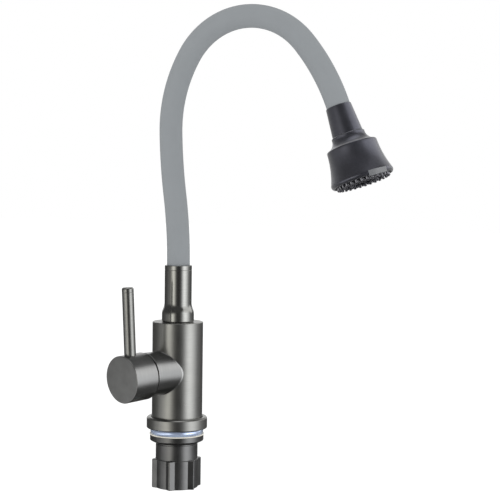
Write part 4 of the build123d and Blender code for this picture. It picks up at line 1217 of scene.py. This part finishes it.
def turn_bell():
    """The bell, from its ledge to its rim, with the post inside."""
    ledge = [(SHELL_THREAD_R, 25.0), (13.65, 25.0, 0.3), (LEDGE_R, 25.7, 0.3)]
    flare = arc((LEDGE_R, 27.2), (16.3, 32.0), (20.8, 34.95), 12) + [(21.5, 35.35, 0.35)]
    skirt = arc((21.8, 36.3), (23.07, 48.5), (SKIRT_R, SKIRT_WIDEST), 18)
    rim = arc((SKIRT_R, SKIRT_WIDEST), (26.85, 65.2), (26.0, SKIRT_END), 6)[1:]
    rim_bore = [(RIM_BORE_R, SKIRT_END), (RIM_BORE_R, RIM_BORE_TOP), (24.3, RIM_BORE_TOP)]
    post = [(19.4, 38.5), (POST_R, 36.5), (POST_R, POST_END), (OUTLET_BORE_R, POST_END)]
    waterway = [(OUTLET_BORE_R, WATERWAY_END), (WATERWAY_R, WATERWAY_END)]
    thread = [(WATERWAY_R, SHELL_THREAD_END), (SHELL_THREAD_R, SHELL_THREAD_END)]
    corners = ledge + flare + skirt + rim + rim_bore + post + waterway + thread
    return lathe("head_bell", corners, steps=200)


make_all([
    (turn_sleeve, head_finish, "head", "head_plastic", "head_sleeve"),
    (turn_bell, head_finish, "head", "head_plastic", "head_shell"),
], HEAD_PLACE)

# %% [markdown]
# ### The face
# The face is a stiff black plate with a rubber mat behind it. Each nozzle is a soft tapered tip that
# stands out through its own hole, so it can be rubbed clean. One tip is turned and then copied round
# three rings. The holes are cut in one step with a copy of every tip, a little wider.

# %% Make the plate, the mat and its tips
PLATE_R = 25.1
PLATE_TOP, PLATE_END = 62.1, 65.1
MAT_BORE_R, MAT_R, MAT_TOP = 5.9, 23.7, 60.3
TIP_R = 1.45
TIP_END = 68.9
TIP_END_R = 1.1
TIP_BORE_R, TIP_BORE_DEPTH = 0.45, 2.2
TIP_RINGS = [(11.6, 14), (17.0, 22), (22.2, 30)]
INSERT_R = 7.7


def ring_places(rings):
    """Places evenly round the middle, from rings of a radius and a count."""
    for radius, count in rings:
        for i in range(count):
            angle = 2 * pi * i / count
            yield radius * cos(angle) * MM, radius * sin(angle) * MM


def copies(piece, places):
    """Copies of a small piece at many places, joined in one."""
    parts = []
    for x, y in places:
        part = piece.copy()
        part.data = piece.data.copy()
        bpy.context.scene.collection.objects.link(part)
        put(part, Matrix.Translation((x, y, 0)))
        parts.append(part)
    bpy.data.objects.remove(piece)
    return join(*parts)


def make_plate():
    """The face plate with a round hole for each tip and for the centre."""
    rear = [(INSERT_R, PLATE_TOP), (PLATE_R, PLATE_TOP)]
    plate = lathe("nozzle_face", rear + [(PLATE_R, PLATE_END, 0.4), (INSERT_R, PLATE_END, 0.2)])
    hole = rod("hole", TIP_R + 0.12, PLATE_TOP - 1, PLATE_END + 1, 20)
    return cut(plate, copies(hole, ring_places(TIP_RINGS)))


def make_mat():
    """The rubber mat with its tips."""
    rear = [(MAT_BORE_R, MAT_TOP), (MAT_R, MAT_TOP)]
    mat = lathe("nozzle_rubber", rear + [(MAT_R, PLATE_TOP), (MAT_BORE_R, PLATE_TOP)])
    root, bore_end = PLATE_TOP - 0.3, TIP_END - TIP_BORE_DEPTH
    outside = [(0, root), (TIP_R, root), (TIP_END_R, TIP_END, 0.35)]
    bore = [(TIP_BORE_R, TIP_END, 0.1), (TIP_BORE_R, bore_end), (0, bore_end)]
    tip = lathe("tip", outside + bore, steps=20)
    mat.name = "nozzle_rubber"
    return join(mat, copies(tip, ring_places(TIP_RINGS)))


make_all([
    (make_plate, face_finish, "face", "face_plastic", "nozzle_plate"),
    (make_mat, tip_finish, "face", "nozzle_rubber", "nozzle_mat"),
], HEAD_PLACE)

# %% [markdown]
# ### The centre outlet and the tab
# The centre outlet is a ring with a fine grid in it. The tab is a part ring that hooks round the rim
# from below and turns the face. Its outline is filled before the spin, so both ends are closed. Every
# second row of corners on its outside is pushed in a little, which gives the finger its fine ridges.

# %% Make the centre outlet and the tab
OUTLET_R, OUTLET_HEAD_R, OUTLET_INNER_R = 5.5, 7.6, 3.6
OUTLET_TOP, OUTLET_NECK_END, OUTLET_END = 48.4, 63.5, 66.9
GRID_TOP, GRID_END, GRID_EDGE_R, GRID_HOLE_R = 64.5, 65.7, 3.7, 0.55
GRID_RINGS = [(0.0, 1), (1.45, 6), (2.8, 12)]
TAB_R = 27.9
TAB_BORE_R = 27.25
TAB_ROOT_R = 24.0
TAB_TOP = 62.7
TAB_FOOT = 66.55
TAB_END = 67.3
TAB_START = 19.5
TAB_SWEEP = 37.0
TAB_STEPS = 28
TAB_RIDGES_TOP = 63.8
TAB_RIDGE = 0.28


def make_outlet():
    """The centre screw with its grid of round holes."""
    neck = [(OUTLET_INNER_R, OUTLET_TOP), (OUTLET_R, OUTLET_TOP), (OUTLET_R, OUTLET_NECK_END)]
    head = [(OUTLET_HEAD_R, OUTLET_NECK_END), (OUTLET_HEAD_R, OUTLET_END, 0.6)]
    inner_edge = [(OUTLET_INNER_R, OUTLET_END, 0.5)]
    outlet = lathe("centre_outlet", neck + head + inner_edge, steps=96)
    grid = rod("grid", GRID_EDGE_R, GRID_TOP, GRID_END)
    hole = rod("hole", GRID_HOLE_R, GRID_TOP - 0.5, GRID_END + 1.3, 12)
    cut(grid, copies(hole, ring_places(GRID_RINGS)))
    return join(outlet, grid)


def make_tab():
    """The hooked tab with its fine ridges."""
    hook = [(TAB_ROOT_R, PLATE_END), (PLATE_R, PLATE_END), (PLATE_R, TAB_FOOT), (TAB_BORE_R, TAB_FOOT)]
    grip = [(TAB_BORE_R, TAB_TOP), (TAB_R, TAB_TOP), (TAB_R, TAB_RIDGES_TOP), (TAB_R, TAB_END)]
    corners = hook + grip + [(TAB_ROOT_R, TAB_END)]
    tab = lathe("selector_tab_grip", corners, steps=TAB_STEPS, angle=TAB_SWEEP)
    for vertex in tab.data.vertices:
        co = vertex.co
        step = round(degrees(atan2(co.y, co.x)) / TAB_SWEEP * TAB_STEPS)
        if step % 2 and hypot(co.x, co.y) > (TAB_R - 0.1) * MM and co.z > (TAB_RIDGES_TOP + 0.1) * MM:
            co.x, co.y = co.x * (1 - TAB_RIDGE / TAB_R), co.y * (1 - TAB_RIDGE / TAB_R)
    put(tab, Matrix.Rotation(radians(TAB_START), 4, "Z"))
    round_edges(tab, 0.18, 60)
    return tab


make_all([
    (make_outlet, face_finish, "head", "face_plastic", "stream_insert"),
    (make_tab, tab_finish, "face", "tab_plastic", "selector_tab"),
], HEAD_PLACE)

# %% [markdown]
# ## The parts inside
# The cartridge, the seals and the hose's inner layers keep their engineering shapes. They only need
# their finishes, chosen by the record's name for each node's material.

# %% Finish the inner nodes
INNER_FINISHES = {
    "brass": brass_finish,
    "steel": steel_finish,
    "black_rubber": rubber_finish,
    "cartridge_plastic": cartridge_finish,
    "white_ceramic": ceramic_finish,
    "water_tube": tube_finish,
    # The housing's lighter gunmetal, which is painted light.
    "glossy_gunmetal": housing_finish,
}
slots = {part["node"]: part["material_slot"] for part in frame["record"]["subparts"]}
inner = [name for name, node in frame["nodes"].items() if not node.hide_render]
for name in inner:
    give(frame["nodes"][name], INNER_FINISHES[slots[name]])
print("inner nodes with a finish:", len(inner))

# %% [markdown]
# ## The floor
# The floor is a wide, plain, pale sheet that glows a little, so that it is nearly as white as the
# room. It lies just under the lowest place of the nut, which can be wound down by 30 mm, so it
# hides nothing.

# %% Lay the floor
FLOOR_HALF = 6.0
FLOOR_GREY = (0.35, 0.35, 0.35)
FLOOR_GLOW = 0.72
NUT_TRAVEL = 30.0
FLOOR_Z = NUT_BOTTOM - NUT_TRAVEL - 0.5


def lay_floor():
    """A wide pale sheet under the nut."""
    settle()
    bpy.ops.mesh.primitive_grid_add(x_subdivisions=8, y_subdivisions=8, size=2 * FLOOR_HALF)
    floor = bpy.context.object
    floor.name = "studio_floor"
    put(floor, Matrix.Translation((0, 0, FLOOR_Z * MM)))
    finish, _, shader = new_finish("pale_floor", FLOOR_GREY, 0.9, specular=0.0)
    shader.inputs["Emission Color"].default_value = (1, 1, 1, 1)
    shader.inputs["Emission Strength"].default_value = FLOOR_GLOW
    give(floor, finish)
    floor.visible_glossy = False


lay_floor()
